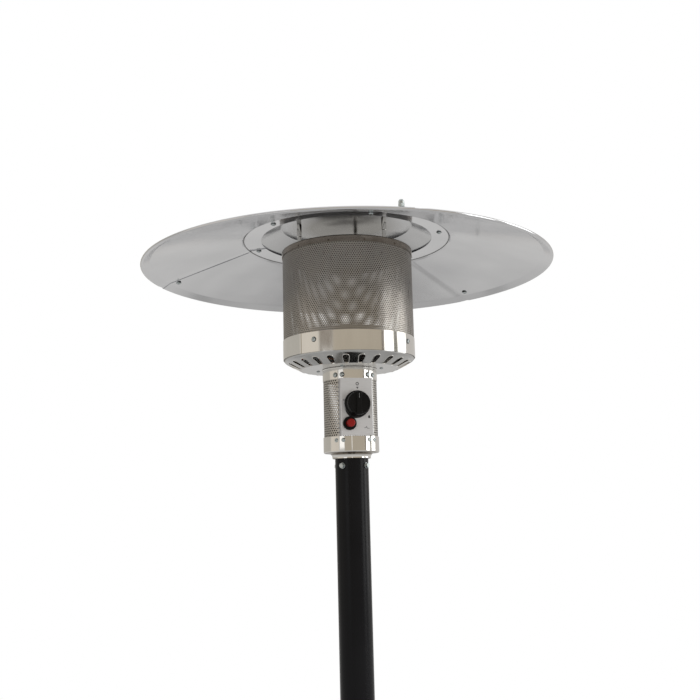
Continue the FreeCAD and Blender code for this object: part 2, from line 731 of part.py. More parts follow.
def make_pole():
    seat = "foot_height + foot_sheet"
    wall = [
        ("pole_radius", f"{seat} + 0.1"), ("pole_radius", head("pole_top")),
        ("pole_radius - pole_wall", head("pole_top")), ("pole_radius - pole_wall", f"{seat} + 0.1"),
    ]
    keep(revolve("Pole", wall), "pole")

    bolts = []
    for number in range(4):
        angle = 45 + 90 * number
        start = (*polar("pole_radius", angle), head("pole_bolt_level"))
        bolts.append(bolt(f"PoleBolt{number}", start, radial(angle), 9, 4.2, 3, 8, 5.8))
    group("pole_bolts", bolts)

    socket = "pole_radius + 0.1"
    foot = revolve("PoleFoot", [
        ("foot_hole", "foot_height"), ("foot_flange", "foot_height"), ("foot_flange", seat, "1"),
        (f"{socket} + foot_sheet", seat, "3"), (f"{socket} + foot_sheet", "foot_socket_top"),
        (socket, "foot_socket_top"), (socket, seat), ("foot_hole", seat),
    ])
    keep(foot, "pole_foot")

    leg_top = "foot_height - 0.2"
    leg_outline = [
        ("leg_radius - leg_tab", "base_height"), ("leg_radius", "base_height", "6"),
        ("leg_radius", "leg_bend_height", "30"), ("foot_flange - 4", leg_top, "12"),
        ("leg_reach", leg_top), ("leg_reach", f"{leg_top} - leg_sheet"),
        ("foot_flange - 5.6", f"{leg_top} - leg_sheet", "8"),
        ("leg_radius - leg_sheet", "leg_bend_height - 1.6", "26"),
        ("leg_radius - leg_sheet", "base_height + leg_sheet", "2"),
        ("leg_radius - leg_tab", "base_height + leg_sheet"),
    ]
    foot_bolts = []
    top_bolts = []
    for number, angle in enumerate(LEG_ANGLES):
        leg = pad(f"Leg{number + 1}", "XZ_Plane", leg_outline, "leg_width", both_ways=True)
        keep(turn_place(leg, angle, "0.1"), f"leg_{number + 1}")
        base_seat = (*polar("leg_bolt_circle", angle), "base_height + leg_sheet + 0.1")
        foot_bolts.append(bolt(f"LegFootBolt{number}", base_seat, UPRIGHT, 13, 5.3, 4, 12, 8.5))
        foot_seat = (*polar("foot_bolt_circle", angle), seat)
        top_bolts.append(bolt(f"LegTopBolt{number}", foot_seat, UPRIGHT, 13, 5.3, 4, 14, 8.5))
    group("leg_foot_bolts", foot_bolts)
    group("leg_top_bolts", top_bolts)


# ---------------------------------------------------------------- base, tank cover and wheels

def make_base():
    base_line = [
        ("base_radius", "0"),
        ("base_wall", "0", "3"),
        ("base_wall", "base_height - base_sheet", "8"),
        ("0", "base_height - base_sheet"),
    ]
    base = revolve("BasePan", skin(base_line, "base_sheet", -1))
    anchor = polar("anchor_circle", 45)
    pierce(base, "XY_Plane", lambda sketch: draw_circle(sketch, *anchor, "anchor_radius"), "anchor_count")
    keep(base, "base_pan")


def make_cover():
    sleeve = [
        ("cover_radius", "cover_base"), ("cover_radius", "cover_top"),
        ("cover_radius - cover_sheet", "cover_top"), ("cover_radius - cover_sheet", "cover_base"),
    ]
    keep(revolve("CoverSleeve", sleeve), "cover_sleeve")

    lid_line = [
        ("lid_radius", "lid_foot"), ("lid_radius", "lid_edge", "6"), ("lid_hole + 14", "lid_height", "8"),
        ("lid_hole", "lid_height"),
    ]
    keep(revolve("CoverLid", skin(lid_line, "cover_sheet", 1)), "cover_lid")

    bush = revolve("CoverBush", [
        ("bush_bore", "lid_height - 8"), ("lid_hole - 0.2", "lid_height - 8"),
        ("lid_hole - 0.2", "lid_height + 0.1"), ("bush_radius", "lid_height + 0.1"),
        ("bush_radius", "lid_height + 7", "3"), ("bush_bore", "lid_height + 7"),
    ])
    keep(bush, "cover_bush")

    rivets = []
    for number in range(6):
        angle = 30 + 60 * number
        start = (*polar("lid_radius", angle), "lid_foot + 7")
        rivets.append(screw(f"CoverRivet{number}", start, radial(angle), 3.6, 1.4, 1.8, 3))
    group("cover_rivets", rivets)


def make_wheels():
    floor = "base_sheet + 0.1"
    ear = [
        ("bracket_front", floor), ("bracket_front + 31", floor), ("wheel_reach + 10", "wheel_height - 12", "6"),
        ("wheel_reach + 10", "wheel_height + 10", "8"), ("wheel_reach - 10", "wheel_height + 10", "8"),
        ("bracket_front", f"{floor} + 20"),
    ]
    ears = []
    for side in (-1, 1):
        plate = pad(f"BracketEar{side + 1}", "YZ_Plane", ear, "ear_sheet", both_ways=True)
        pierce(plate, "YZ_Plane", lambda sketch: draw_circle(sketch, "wheel_reach", "wheel_height",
                                                             "axle_radius + 0.05"))
        ears.append(shift_sideways(plate, f"{side} * (ear_offset + ear_sheet / 2)"))
    middle = "bracket_front + bracket_floor / 2"
    floor_plate = block("BracketFloor", "2 * ear_offset + 2", "bracket_floor", "bracket_sheet",
                        "0", middle, floor)
    keep(fuse("WheelBracket", [floor_plate, *ears]), "wheel_bracket")

    bolts = []
    for side in (-1, 1):
        seat = (f"{side} * bracket_bolt_offset", middle, f"{floor} + bracket_sheet")
        bolts.append(bolt(f"BracketBolt{side + 1}", seat, UPRIGHT, 10, 4.2, 3, 4, 6.5))
    group("bracket_bolts", bolts)

    sideways = Vector(1, 0, 0)
    length = "wheel_track + hub_length / 2 + 4"
    axle = rod("Axle", "axle_radius", f"2 * ({length})",
               f"-({length})", "wheel_reach", "wheel_height", sideways)
    keep(axle, "wheel_axle")
    caps = []
    half = [
        ("axle_radius + 0.07", "-hub_length / 2"), ("14", "-hub_length / 2", "1"), ("17", "-5", "3"),
        ("wheel_radius - 15", "-5", "3"), ("wheel_radius - 12", "-15", "2"), ("wheel_radius", "-15", "5"),
        ("wheel_radius", "15", "5"), ("wheel_radius - 12", "15", "2"), ("wheel_radius - 15", "5", "3"),
        ("17", "5", "3"), ("14", "hub_length / 2", "1"), ("axle_radius + 0.07", "hub_length / 2"),
    ]
    for side, label in ((-1, "wheel_left"), (1, "wheel_right")):
        wheel = revolve(f"Wheel{side + 1}", half)
        keep(set_place(wheel, f"{side} * wheel_track", "wheel_reach", "wheel_height", sideways), label)
        start = (f"{side} * (wheel_track + hub_length / 2 + 0.5)", "wheel_reach", "wheel_height")
        dome = rod(f"AxleCap{side + 1}", "8", "6.5", *start, sideways * side)
        hole = rod(f"AxleCapBore{side + 1}", "axle_radius + 0.02", "3.6", *start, sideways * side)
        caps.append(cut(f"AxleCapPiece{side + 1}", dome, hole))
    group("axle_caps", caps)


# ---------------------------------------------------------------- build, check and write

def check_objects():
    for item in document.Objects:
        if any(state in item.State for state in ("Invalid", "Error")):
            raise ValueError(f"{item.Name} failed: {item.State}")
    for item in subparts:
        if item.Shape.isNull() or not item.Shape.isValid():
            raise ValueError(f"{item.Label} has no valid shape")


def write_parts():
    os.makedirs("parts", exist_ok=True)
    for item in subparts:
        item.Shape.exportStep(f"parts/{item.Label}.step")
        print(f"{item.Label}: {len(item.Shape.Solids)} solid(s), {item.Shape.Volume / 1000:.1f} cm3")


make_reflector()
make_posts()
make_emitter()
make_burner()
make_collars()
make_control_housing()
make_valve()
make_knob()
make_igniter()
make_gas_lines()
make_pole()
make_base()
make_cover()
make_wheels()
document.recompute()
check_objects()
write_parts()
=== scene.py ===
"""Looks of the free-standing patio heater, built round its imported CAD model. Metres, +Z up, front to -Y."""
import json
import math

import bmesh
import bpy
from mathutils import Matrix, Vector, noise


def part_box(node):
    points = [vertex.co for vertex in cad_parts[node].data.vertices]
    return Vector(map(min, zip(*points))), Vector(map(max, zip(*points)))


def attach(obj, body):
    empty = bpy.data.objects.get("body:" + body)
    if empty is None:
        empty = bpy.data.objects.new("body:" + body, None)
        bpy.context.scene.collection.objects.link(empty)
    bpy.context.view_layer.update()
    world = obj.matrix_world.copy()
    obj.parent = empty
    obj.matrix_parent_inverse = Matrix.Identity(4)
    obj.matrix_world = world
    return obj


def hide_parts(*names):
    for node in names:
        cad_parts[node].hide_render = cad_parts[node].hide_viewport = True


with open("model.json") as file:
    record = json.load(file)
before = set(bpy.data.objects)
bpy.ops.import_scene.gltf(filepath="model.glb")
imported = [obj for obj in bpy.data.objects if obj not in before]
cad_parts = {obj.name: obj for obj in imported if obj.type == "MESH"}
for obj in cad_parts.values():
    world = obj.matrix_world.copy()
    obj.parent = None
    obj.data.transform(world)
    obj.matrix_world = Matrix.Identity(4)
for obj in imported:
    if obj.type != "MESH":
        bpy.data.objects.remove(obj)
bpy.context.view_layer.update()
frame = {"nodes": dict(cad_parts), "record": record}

MM = 0.001


# ---------------------------------------------------------------- places taken from the CAD model

def low(node):
    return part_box(node)[0]


def high(node):
    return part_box(node)[1]


RIM = low("reflector_panel_1").z
RIM_RADIUS = high("reflector_panel_1").y
SCREEN_RADIUS = high("emitter_screen").x
SCREEN_LOW = low("emitter_screen").z
SCREEN_HIGH = high("emitter_screen").z
RING_RADIUS = high("emitter_top_ring").x
RING_TOP = high("emitter_top_ring").z
BAND_RADIUS = high("emitter_band").x
COLLAR_RADIUS = high("lower_collar").x
SHELL_RADIUS = high("control_shell").y
PLATE_FRONT = low("control_plate").y
POLE_RADIUS = high("pole").x

CROWN = 93.4            # the reflector cap's flat top, in millimetres above the rim
SHEET = 0.8 * MM
SEAM_ANGLES = (32, 152, 272)
SHARP_ANGLE = math.radians(32)
FINE = 288              # straight sides that stand for a whole large circle
MEDIUM = 144
SMALL = 24              # and for the outline of a small turned piece
UP = (0, 0, 1)
DOWN = (0, 0, -1)


def above_rim(millimetres):
    return RIM + millimetres * MM


# ---------------------------------------------------------------- materials

# A colour mix's sockets: its two colours, and its result.
COLOR_A, COLOR_B, COLOR_OUT = 6, 7, 2


class Nodes:
    """Short ways to add nodes to a node tree. A source is another node's output or a plain value."""

    def __init__(self, tree):
        self.tree = tree

    def fill(self, node, sources):
        """Give a node's inputs their sources, by name or by number."""
        for socket, source in sources.items():
            if isinstance(source, bpy.types.NodeSocket):
                self.tree.links.new(source, node.inputs[socket])
            else:
                node.inputs[socket].default_value = source

    def add(self, kind, sources=None, **settings):
        node = self.tree.nodes.new(kind)
        for key, setting in settings.items():
            setattr(node, key, setting)
        self.fill(node, sources or {})
        return node

    def calculate(self, operation, *sources):
        return self.add("ShaderNodeMath", dict(enumerate(sources)), operation=operation).outputs["Value"]

    def spread(self, source, start, end, low_end=0.3, high_end=0.7, **settings):
        """The source's middle range stretched to run from start to end."""
        limits = {"From Min": low_end, "From Max": high_end, "To Min": start, "To Max": end}
        return self.add("ShaderNodeMapRange", {"Value": source, **limits}, **settings).outputs["Result"]

    def mix(self, factor, *colors):
        """A colour running from the first to the second as the factor goes from 0 to 1."""
        first, second = [color if isinstance(color, bpy.types.NodeSocket) else (*color, 1)
                         for color in colors]
        sources = {"Factor": factor, COLOR_A: first, COLOR_B: second}
        return self.add("ShaderNodeMix", sources, data_type="RGBA").outputs[COLOR_OUT]


class Look(Nodes):
    """A material with one Principled shader."""

    def __init__(self, name, color, metallic, roughness, shine=0.5):
        self.material = bpy.data.materials.new(name)
        self.material.use_nodes = True
        super().__init__(self.material.node_tree)
        self.shader = self.tree.nodes["Principled BSDF"]
        self.fill(self.shader, {"Base Color": (*color, 1), "Metallic": metallic, "Roughness": roughness,
                                "Specular IOR Level": shine})
        self.place = self.add("ShaderNodeTexCoord").outputs["Object"]
        self.color = None
        self.normal = None

    def noise(self, scale, detail=4, stretch=(1, 1, 1), turn=0):
        """Noise in the object's own space, scale in cells per metre, stretched along each axis."""
        turned_place = {"Vector": self.place, "Scale": stretch, "Rotation": (0, 0, math.radians(turn))}
        place = self.add("ShaderNodeMapping", turned_place).outputs["Vector"]
        texture = {"Vector": place, "Scale": scale, "Detail": detail}
        return self.add("ShaderNodeTexNoise", texture).outputs["Fac"]

    def by_height(self, start, end):
        """0 at one height of the object and 1 at another."""
        heights = self.add("ShaderNodeSeparateXYZ", {"Vector": self.place}).outputs["Z"]
        return self.spread(heights, 0, 1, start, end)

    def from_axis(self):
        """Distance from the object's own Z axis."""
        flat = self.add("ShaderNodeVectorMath", {0: self.place, 1: (1, 1, 0)}, operation="MULTIPLY")
        reach = self.add("ShaderNodeVectorMath", {0: flat.outputs["Vector"]}, operation="LENGTH")
        return reach.outputs["Value"]

    def colors(self, factor, first, second):
        self.color = self.mix(factor, first, second)
        self.fill(self.shader, {"Base Color": self.color})

    def roughness(self, source, smooth, dull):
        self.fill(self.shader, {"Roughness": self.spread(source, smooth, dull)})

    def bump(self, source, distance, strength=1.0):
        """A raised texture, its height in metres."""
        sources = {"Height": source, "Distance": distance, "Strength": strength}
        if self.normal:
            sources["Normal"] = self.normal
        self.normal = self.add("ShaderNodeBump", sources).outputs["Normal"]
        self.fill(self.shader, {"Normal": self.normal})

    def stain(self, source, first, second, smooth, dull):
        """One texture for both the colour and the roughness."""
        self.colors(self.spread(source, 0, 1), first, second)
        self.roughness(source, smooth, dull)


def metal_look(name, color, roughness, grain, first, second, dull, depth, texture=None, metallic=1.0):
    """Metal stained by one grain, with its relief from the same grain or from a texture of its own.

    Grain and texture are each a noise's scale, detail and stretch, dull is the range of the roughness,
    and depth is the relief's height in metres.
    """
    look = Look(name, color, metallic, roughness)
    source = look.noise(*grain)
    look.stain(source, first, second, *dull)
    look.bump(look.noise(*texture) if texture else source, depth)
    return look.material


def plastic_look(name, first, second, smooth, dull, texture, depth, shine=0.3):
    look = Look(name, first, 0.0, smooth, shine)
    look.colors(look.spread(look.noise(60, 3), 0, 1), first, second)
    look.roughness(look.noise(texture / 3, 2), smooth, dull)
    look.bump(look.noise(texture, 2), depth)
    return look.material


def reflector_look(turn=0):
    look = Look(f"reflector_aluminium_{turn}", (0.7, 0.7, 0.71), 1.0, 0.1)
    grain = look.noise(60, 6, (1, 30, 1), turn)
    look.colors(look.spread(look.noise(7, 2), 0, 1), (0.645, 0.65, 0.668), (0.735, 0.74, 0.758))
    look.roughness(grain, 0.07, 0.12)
    look.bump(grain, 0.00003)
    look.bump(look.noise(9, 1), 0.0009)
    return look.material


def cap_look():
    """Polished aluminium, darker near the axis: a painted reflection of the dark burner top."""
    look = Look("cap_aluminium", (0.57, 0.575, 0.58), 1.0, 0.16)
    look.stain(look.noise(12, 3), (0.54, 0.543, 0.55), (0.61, 0.613, 0.62), 0.12, 0.2)
    # Painted reflection: the colour darkens towards the axis, where the dark burner top shows in the polished
    # cap.
    look.colors(look.spread(look.from_axis(), 1, 0, 0.07, 0.12), look.color, (0.28, 0.27, 0.25))
    look.bump(look.noise(14, 1), 0.0012)
    return look.material


def emitter_look():
    """Perforated steel, tanned by heat towards its top."""
    look = Look("emitter_steel", (0.24, 0.225, 0.205), 1.0, 0.36)
    height = look.by_height(SCREEN_LOW + 90 * MM, SCREEN_HIGH)
    heat = look.calculate("ADD", height, look.spread(look.noise(22, 3), -0.35, 0.35))
    look.colors(heat, (0.42, 0.395, 0.365), (0.5, 0.46, 0.41))
    look.roughness(look.noise(160, 4, (1, 1, 0.2)), 0.26, 0.38)
    look.bump(look.noise(900), 0.00003)
    return look.material


def polished(name):
    """Bright stainless sheet, slightly wavy, with fine lines round it."""
    look = Look(name, (0.79, 0.775, 0.745), 1.0, 0.09)
    look.stain(look.noise(30, 3, (1, 1, 0.4)), (0.76, 0.745, 0.715), (0.82, 0.805, 0.775), 0.05, 0.13)
    look.bump(look.noise(18, 1, (1, 1, 0.5)), 0.0006)
    look.bump(look.noise(60, 3, (1, 1, 26)), 0.000006)
    return look


def collar_painted_shade_look():
    """Polished steel with a dark brown band painted in the corner above the neck: painted shade where the
    collar turns in.
    """
    look = polished("collar_steel_painted_shade")
    below_top = look.by_height(above_rim(-360.4), above_rim(-361.4))
    above_foot = look.by_height(above_rim(-366.5), above_rim(-363.5))
    # Painted shade: a dark brown band between the collar's lower corner and the neck.
    look.colors(look.calculate("MULTIPLY", below_top, above_foot), look.color, (0.14, 0.11, 0.075))
    return look.material


def powder_coat_look():
    look = Look("black_powder_coat", (0.004, 0.004, 0.0046), 0.0, 0.2, 0.13)
    look.colors(look.spread(look.noise(9, 3), 0, 1), (0.0032, 0.0032, 0.0038), (0.005, 0.005, 0.0058))
    look.roughness(look.noise(240, 2), 0.18, 0.26)
    look.bump(look.noise(700, 2), 0.00006, 0.6)
    look.bump(look.noise(90, 1), 0.00012, 0.5)
    return look.material


def perforated_look():
    return metal_look("perforated_steel", (0.5, 0.48, 0.45), 0.3, (50, 3), (0.46, 0.44, 0.41),
                      (0.54, 0.52, 0.49), (0.26, 0.38), 0.00002, (300, 4, (1, 1, 8)))


def plate_look():
    return metal_look("plate_steel", (0.5, 0.5, 0.51), 0.36, (70, 6, (1, 1, 60)), (0.46, 0.46, 0.47),
                      (0.54, 0.54, 0.55), (0.3, 0.44), 0.00003, metallic=0.5)


def drawn_tube_look(name, first, second):
    return metal_look(name, first, 0.3, (120, 4, (4, 4, 1)), first, second, (0.24, 0.4), 0.00003)


LOOKS = {
    "cap_aluminium": cap_look(),
    "emitter_steel": emitter_look(),
    "polished_steel": polished("polished_steel").material,
    "perforated_steel": perforated_look(),
    "plate_steel": plate_look(),
    "black_powder_coat": powder_coat_look(),
    "inner_steel": metal_look("inner_steel", (0.5, 0.49, 0.47), 0.4, (40, 5), (0.4, 0.39, 0.37),
                              (0.58, 0.57, 0.55), (0.3, 0.5), 0.00003, (500,)),
    "zinc": metal_look("zinc_plate", (0.5, 0.54, 0.55), 0.26, (350, 3), (0.4, 0.45, 0.47),
                       (0.6, 0.64, 0.63), (0.2, 0.36), 0.00004),
    "brass": metal_look("brass", (0.7, 0.5, 0.22), 0.28, (80, 4, (1, 1, 14)), (0.62, 0.43, 0.18),
                        (0.78, 0.58, 0.28), (0.22, 0.36), 0.00003),
    "zinc_casting": metal_look("zinc_casting", (0.5, 0.5, 0.5), 0.5, (600,), (0.42, 0.42, 0.42),
                               (0.56, 0.56, 0.56), (0.42, 0.6), 0.00012),
    "tube_aluminium": drawn_tube_look("tube_aluminium", (0.68, 0.68, 0.68), (0.8, 0.8, 0.8)),
    "copper_lead": drawn_tube_look("copper_lead", (0.6, 0.3, 0.18), (0.74, 0.42, 0.28)),
    "ceramic": plastic_look("ceramic", (0.82, 0.8, 0.74), (0.9, 0.88, 0.83), 0.2, 0.3, 300, 0.00003),
    "lead_silicone": plastic_look("lead_silicone", (0.45, 0.07, 0.04), (0.55, 0.1, 0.06), 0.4, 0.5, 700,
                                  0.00003),
    "black_plastic": plastic_look("black_plastic", (0.003, 0.003, 0.003), (0.005, 0.005, 0.005), 0.25, 0.35,
                                  1400, 0.00004, 0.12),
    "red_plastic": plastic_look("red_plastic", (0.13, 0.004, 0.004), (0.18, 0.006, 0.005), 0.1, 0.18, 240,
                                0.00002),
    "wheel_plastic": plastic_look("wheel_plastic", (0.016, 0.016, 0.017), (0.026, 0.026, 0.028), 0.45, 0.6,
                                  900, 0.00008),
    "reflector_aluminium": reflector_look(),
}
RING_LOOK = metal_look("heat_tinted_ring", (0.5, 0.42, 0.34), 0.26, (26, 4, (1, 1, 2)), (0.34, 0.3, 0.26),
                       (0.2, 0.17, 0.14), (0.2, 0.34), 0.00006, (40, 4, (1, 1, 12)))
PAN_LOOK = metal_look("heat_dulled_steel", (0.5, 0.5, 0.49), 0.14, (24, 4), (0.46, 0.46, 0.455),
                      (0.54, 0.54, 0.535), (0.1, 0.18), 0.0006, (20, 1))
WELD_LOOK = plastic_look("spot_weld_scale", (0.05, 0.035, 0.025), (0.09, 0.07, 0.05), 0.3, 0.5, 900, 0.00002)
MARK_LOOK = plastic_look("grey_marking", (0.1, 0.1, 0.1), (0.14, 0.14, 0.14), 0.4, 0.5, 900, 0.00001)
# Colour of the thin dark rings under screw and bolt heads: painted shade round the heads.
SCREW_SHADE_LOOK = plastic_look("painted_screw_shade", (0.02, 0.02, 0.02), (0.035, 0.035, 0.035), 0.5, 0.7, 900, 0.00002)
# Nearly black colour for the inside face and hole walls of the perforated shells: painted shade inside them.
SHELL_INSIDE_SHADE_LOOK = plastic_look("painted_shade_inside", (0.018, 0.017, 0.015), (0.032, 0.029, 0.026), 0.6, 0.75, 500,
                         0.00003)
# Colour of the thin dark ring at the crown's edge: a painted shadow line where the cap laps onto the panels.
CROWN_EDGE_SHADOW_LOOK = plastic_look("painted_edge_shadow", (0.2, 0.2, 0.2), (0.27, 0.27, 0.27), 0.4, 0.5, 900, 0.00001)
INK_LOOK = plastic_look("printed_ink", (0.012, 0.012, 0.012), (0.02, 0.02, 0.02), 0.5, 0.6, 900, 0.00001)


# ---------------------------------------------------------------- outlines and shapes

def evenly(start, end, steps):
    return [start + (end - start) * i / steps for i in range(steps + 1)]


def polar(radius, degrees):
    """The (x, y) of a point at a radius and an angle."""
    turn = math.radians(degrees)
    return radius * math.cos(turn), radius * math.sin(turn)


def ramp(value):
    """The value itself, kept between 0 and 1."""
    return min(max(value, 0), 1)


def arc(centre, radius, start, end, steps):
    """Points of an arc in an (across, up) section, from one angle to another."""
    spokes = [polar(radius, angle) for angle in evenly(start, end, steps)]
    return [(centre[0] + across, centre[1] + up) for across, up in spokes]


def rounded(points, steps=5):
    """A section's points, each (across, up) or (across, up, radius), with its corners rounded."""
    line = []
    for i, (x, y, *radius) in enumerate(points):
        if not radius:
            line.append((x, y))
            continue
        corner = Vector((x, y))
        back = (Vector(points[i - 1][:2]) - corner).normalized()
        on = (Vector(points[(i + 1) % len(points)][:2]) - corner).normalized()
        half = back.angle(on) / 2
        reach = radius[0] / math.tan(half)
        centre = corner + (back + on).normalized() * (radius[0] / math.sin(half))
        first = corner + back * reach - centre
        last = corner + on * reach - centre
        for step in range(steps + 1):
            spoke = first.lerp(last, step / steps).normalized() * radius[0]
            line.append((centre.x + spoke.x, centre.y + spoke.y))
    return line


def mm_line(points, base=0.0):
    """Section points given in millimetres, heights above a base height in metres."""
    return [(r * MM, base + z * MM, *[size * MM for size in radius]) for r, z, *radius in points]


def grid_faces(rows, width, closed_rows, closed_width):
    """The faces between neighbouring rows of points, each row as wide as the next."""
    faces = []
    for i in range(rows if closed_rows else rows - 1):
        after = (i + 1) % rows
        for j in range(width if closed_width else width - 1):
            k = (j + 1) % width
            faces.append((i * width + j, after * width + j, after * width + k, i * width + k))
    return faces


def swept(section_at, angles, closed_section, full_turn):
    """A section carried round the Z axis, where section_at gives it at each angle."""
    points = []
    for angle in angles:
        points += [(*polar(r, angle), z) for r, z in section_at(angle)]
    return points, grid_faces(len(angles), len(points) // len(angles), full_turn, closed_section)


def swept_round(section_at, segments, closed_section=False):
    return swept(section_at, evenly(0, 360, segments)[:-1], closed_section, True)


def spun(line, segments=SMALL):
    """A line of (radius, height) turned about Z, its ends on the axis or open."""
    points = []
    faces = []
    rings = []
    for radius, height in line:
        if radius == 0:
            rings.append([len(points)] * segments)
            points.append((0, 0, height))
            continue
        rings.append(range(len(points), len(points) + segments))
        points += [(*polar(radius, 360 * i / segments), height) for i in range(segments)]
    for below, above in zip(rings, rings[1:]):
        for i in range(segments):
            k = (i + 1) % segments
            faces.append(list(dict.fromkeys([below[i], below[k], above[k], above[i]])))
    return points, faces


def raised(outline, height, base=0.0):
    """A flat outline of (x, y) raised from a base level."""
    count = len(outline)
    points = [(x, y, base) for x, y in outline] + [(x, y, base + height) for x, y in outline]
    sides = [(i, (i + 1) % count, (i + 1) % count + count, i + count) for i in range(count)]
    return points, [tuple(range(count))[::-1], tuple(range(count, 2 * count)), *sides]


def joined(*shapes):
    points = []
    faces = []
    for shape_points, shape_faces in shapes:
        faces += [[len(points) + i for i in face] for face in shape_faces]
        points += shape_points
    return points, faces


# ---------------------------------------------------------------- pieces

def new_mesh(name, shape, slot, replaced=(), look=None, body="stand"):
    """A piece of one shape, points and faces, riding on a body and standing for CAD nodes."""
    points, faces = shape
    mesh = bpy.data.meshes.new(name)
    mesh.from_pydata(points, [], faces)
    mesh.validate()
    piece = bpy.data.objects.new(name, mesh)
    bpy.context.collection.objects.link(piece)
    edit = bmesh.new()
    edit.from_mesh(mesh)
    bmesh.ops.recalc_face_normals(edit, faces=edit.faces)
    edit.to_mesh(mesh)
    edit.free()
    mesh.shade_smooth()
    mesh.set_sharp_from_angle(angle=SHARP_ANGLE)
    mesh.materials.append(look or LOOKS[slot])
    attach(piece, body)
    if replaced:
        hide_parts(*replaced)
    return piece


def make_solid(piece, thickness, side, **settings):
    """Turn an open surface into sheet that lies behind it (side -1) or in front of it (side 1)."""
    solid = piece.modifiers.new("sheet", "SOLIDIFY")
    solid.thickness = thickness
    solid.offset = side
    for key, setting in settings.items():
        setattr(solid, key, setting)
    depsgraph = bpy.context.evaluated_depsgraph_get()
    mesh = bpy.data.meshes.new_from_object(piece.evaluated_get(depsgraph))
    piece.modifiers.clear()
    piece.data = mesh


def thicken(piece, side=-1, thickness=SHEET):
    make_solid(piece, thickness, side, use_even_offset=True)
    piece.data.set_sharp_from_angle(angle=SHARP_ANGLE)


def turned_sheet(name, line, slot, replaced, look=None, side=-1):
    """A sheet-metal shell: an open section turned through a whole circle, then given its thickness."""
    thicken(new_mesh(name, swept_round(lambda angle: line, FINE), slot, replaced, look), side)


def wrapped_sheet(name, line, seam, overlap, step_out, slot, replaced, look=None, side=-1):
    """A sheet strip wrapped once round the axis, its end stepping out over its beginning at the seam."""

    def section(angle):
        lap = ramp((angle - seam - 360 + overlap) / overlap)
        return [(r + step_out * lap, z) for r, z in line]

    angles = evenly(seam, seam + 360 + overlap, 300)
    thicken(new_mesh(name, swept(section, angles, False, False), slot, replaced, look), side)


def stand_at(start, direction=UP, spin=0.0):
    """The matrix that stands a shape made along +Z on a point, along a direction, spun in degrees."""
    turn = Vector(direction).to_track_quat("Z", "Y").to_matrix().to_4x4()
    return Matrix.Translation(start) @ turn @ Matrix.Rotation(math.radians(spin), 4, "Z")


def repeated(name, shape, stands, slot, replaced=(), look=None, body="stand"):
    """One object with the same shape at every stand."""
    points, faces = shape
    copies = [([stand @ Vector(point) for point in points], faces) for stand in stands]
    return new_mesh(name, joined(*copies), slot, replaced, look, body)


def round_the_axis(radius, height, angles, direction=None, spin=37):
    """Stands round the heater's axis, pointing outward or along a direction, each spun a step further."""
    return [stand_at((*polar(radius, angle), height), direction or (*polar(1, angle), 0), spin * (number + 1))
            for number, angle in enumerate(angles)]


def cross_head(radius, height):
    """A round screw head with a cross recess, standing on its seat."""
    side = [(0, 0), (radius * 0.93, 0), (radius, height * 0.14), (radius, height * 0.3),
            (radius * 0.93, height * 0.62), (radius * 0.78, height * 0.87), (radius * 0.6, height)]
    points, faces = spun(side)
    rim = len(points) - SMALL
    arm = radius * 0.46
    half = radius * 0.12
    cross = []
    for turn in range(4):
        for x, y in ((arm, -half), (arm, half), (half, half)):
            cross.append([(x, y), (-y, x), (-x, -y), (y, -x)][turn])
    corners = len(cross)
    top = len(points)
    points += [(x, y, height) for x, y in cross] + [(x, y, height * 0.35) for x, y in cross]
    for turn in range(4):
        ring = [rim + (6 * turn + step) % SMALL for step in range(-3, 4)]
        before, tip, end, after = [top + (3 * turn + step) % corners for step in (-1, 0, 1, 2)]
        faces += [(ring[0], ring[1], tip, before), (*ring[1:6], end, tip), (ring[5], ring[6], after, end)]
    for i in range(corners):
        k = (i + 1) % corners
        faces.append((top + i, top + k, top + corners + k, top + corners + i))
    faces.append(tuple(range(top + corners, top + 2 * corners)))
    return points, faces


def hexagon_prism(across, height, base=0.0):
    """A hexagon with its top corners chamfered."""
    corner = across / 2 / math.cos(math.pi / 6)
    rings = [(corner, base), (corner, base + height * 0.86), (corner * 0.9, base + height)]
    return spun([(0, base), *rings, (0, base + height)], 6)


def washer(radius, thickness):
    return spun([(0, 0), (radius * 0.96, 0), (radius, thickness * 0.3), (radius, thickness * 0.75),
                 (radius * 0.95, thickness), (0, thickness)], 32)


def hexagon_bolt(across, height, washer_radius):
    """A hexagon bolt's head on its washer, with the raised round mark on its top."""
    thickness = 1.2 * MM
    top = thickness + height
    mark = spun([(0, top), (across * 0.38, top), (across * 0.36, top + 0.15 * MM), (0, top + 0.15 * MM)])
    return joined(washer(washer_radius, thickness), hexagon_prism(across, height, thickness), mark)


# ---------------------------------------------------------------- reflector

LAP_ANGLE = 3.4
LAP_RISE = 1.1 * MM
ROLL = 3.1 * MM
LONGEST_STEP = 12 * MM
WAVE_HEIGHT = 0.5 * MM
WAVES_PER_METRE = 7


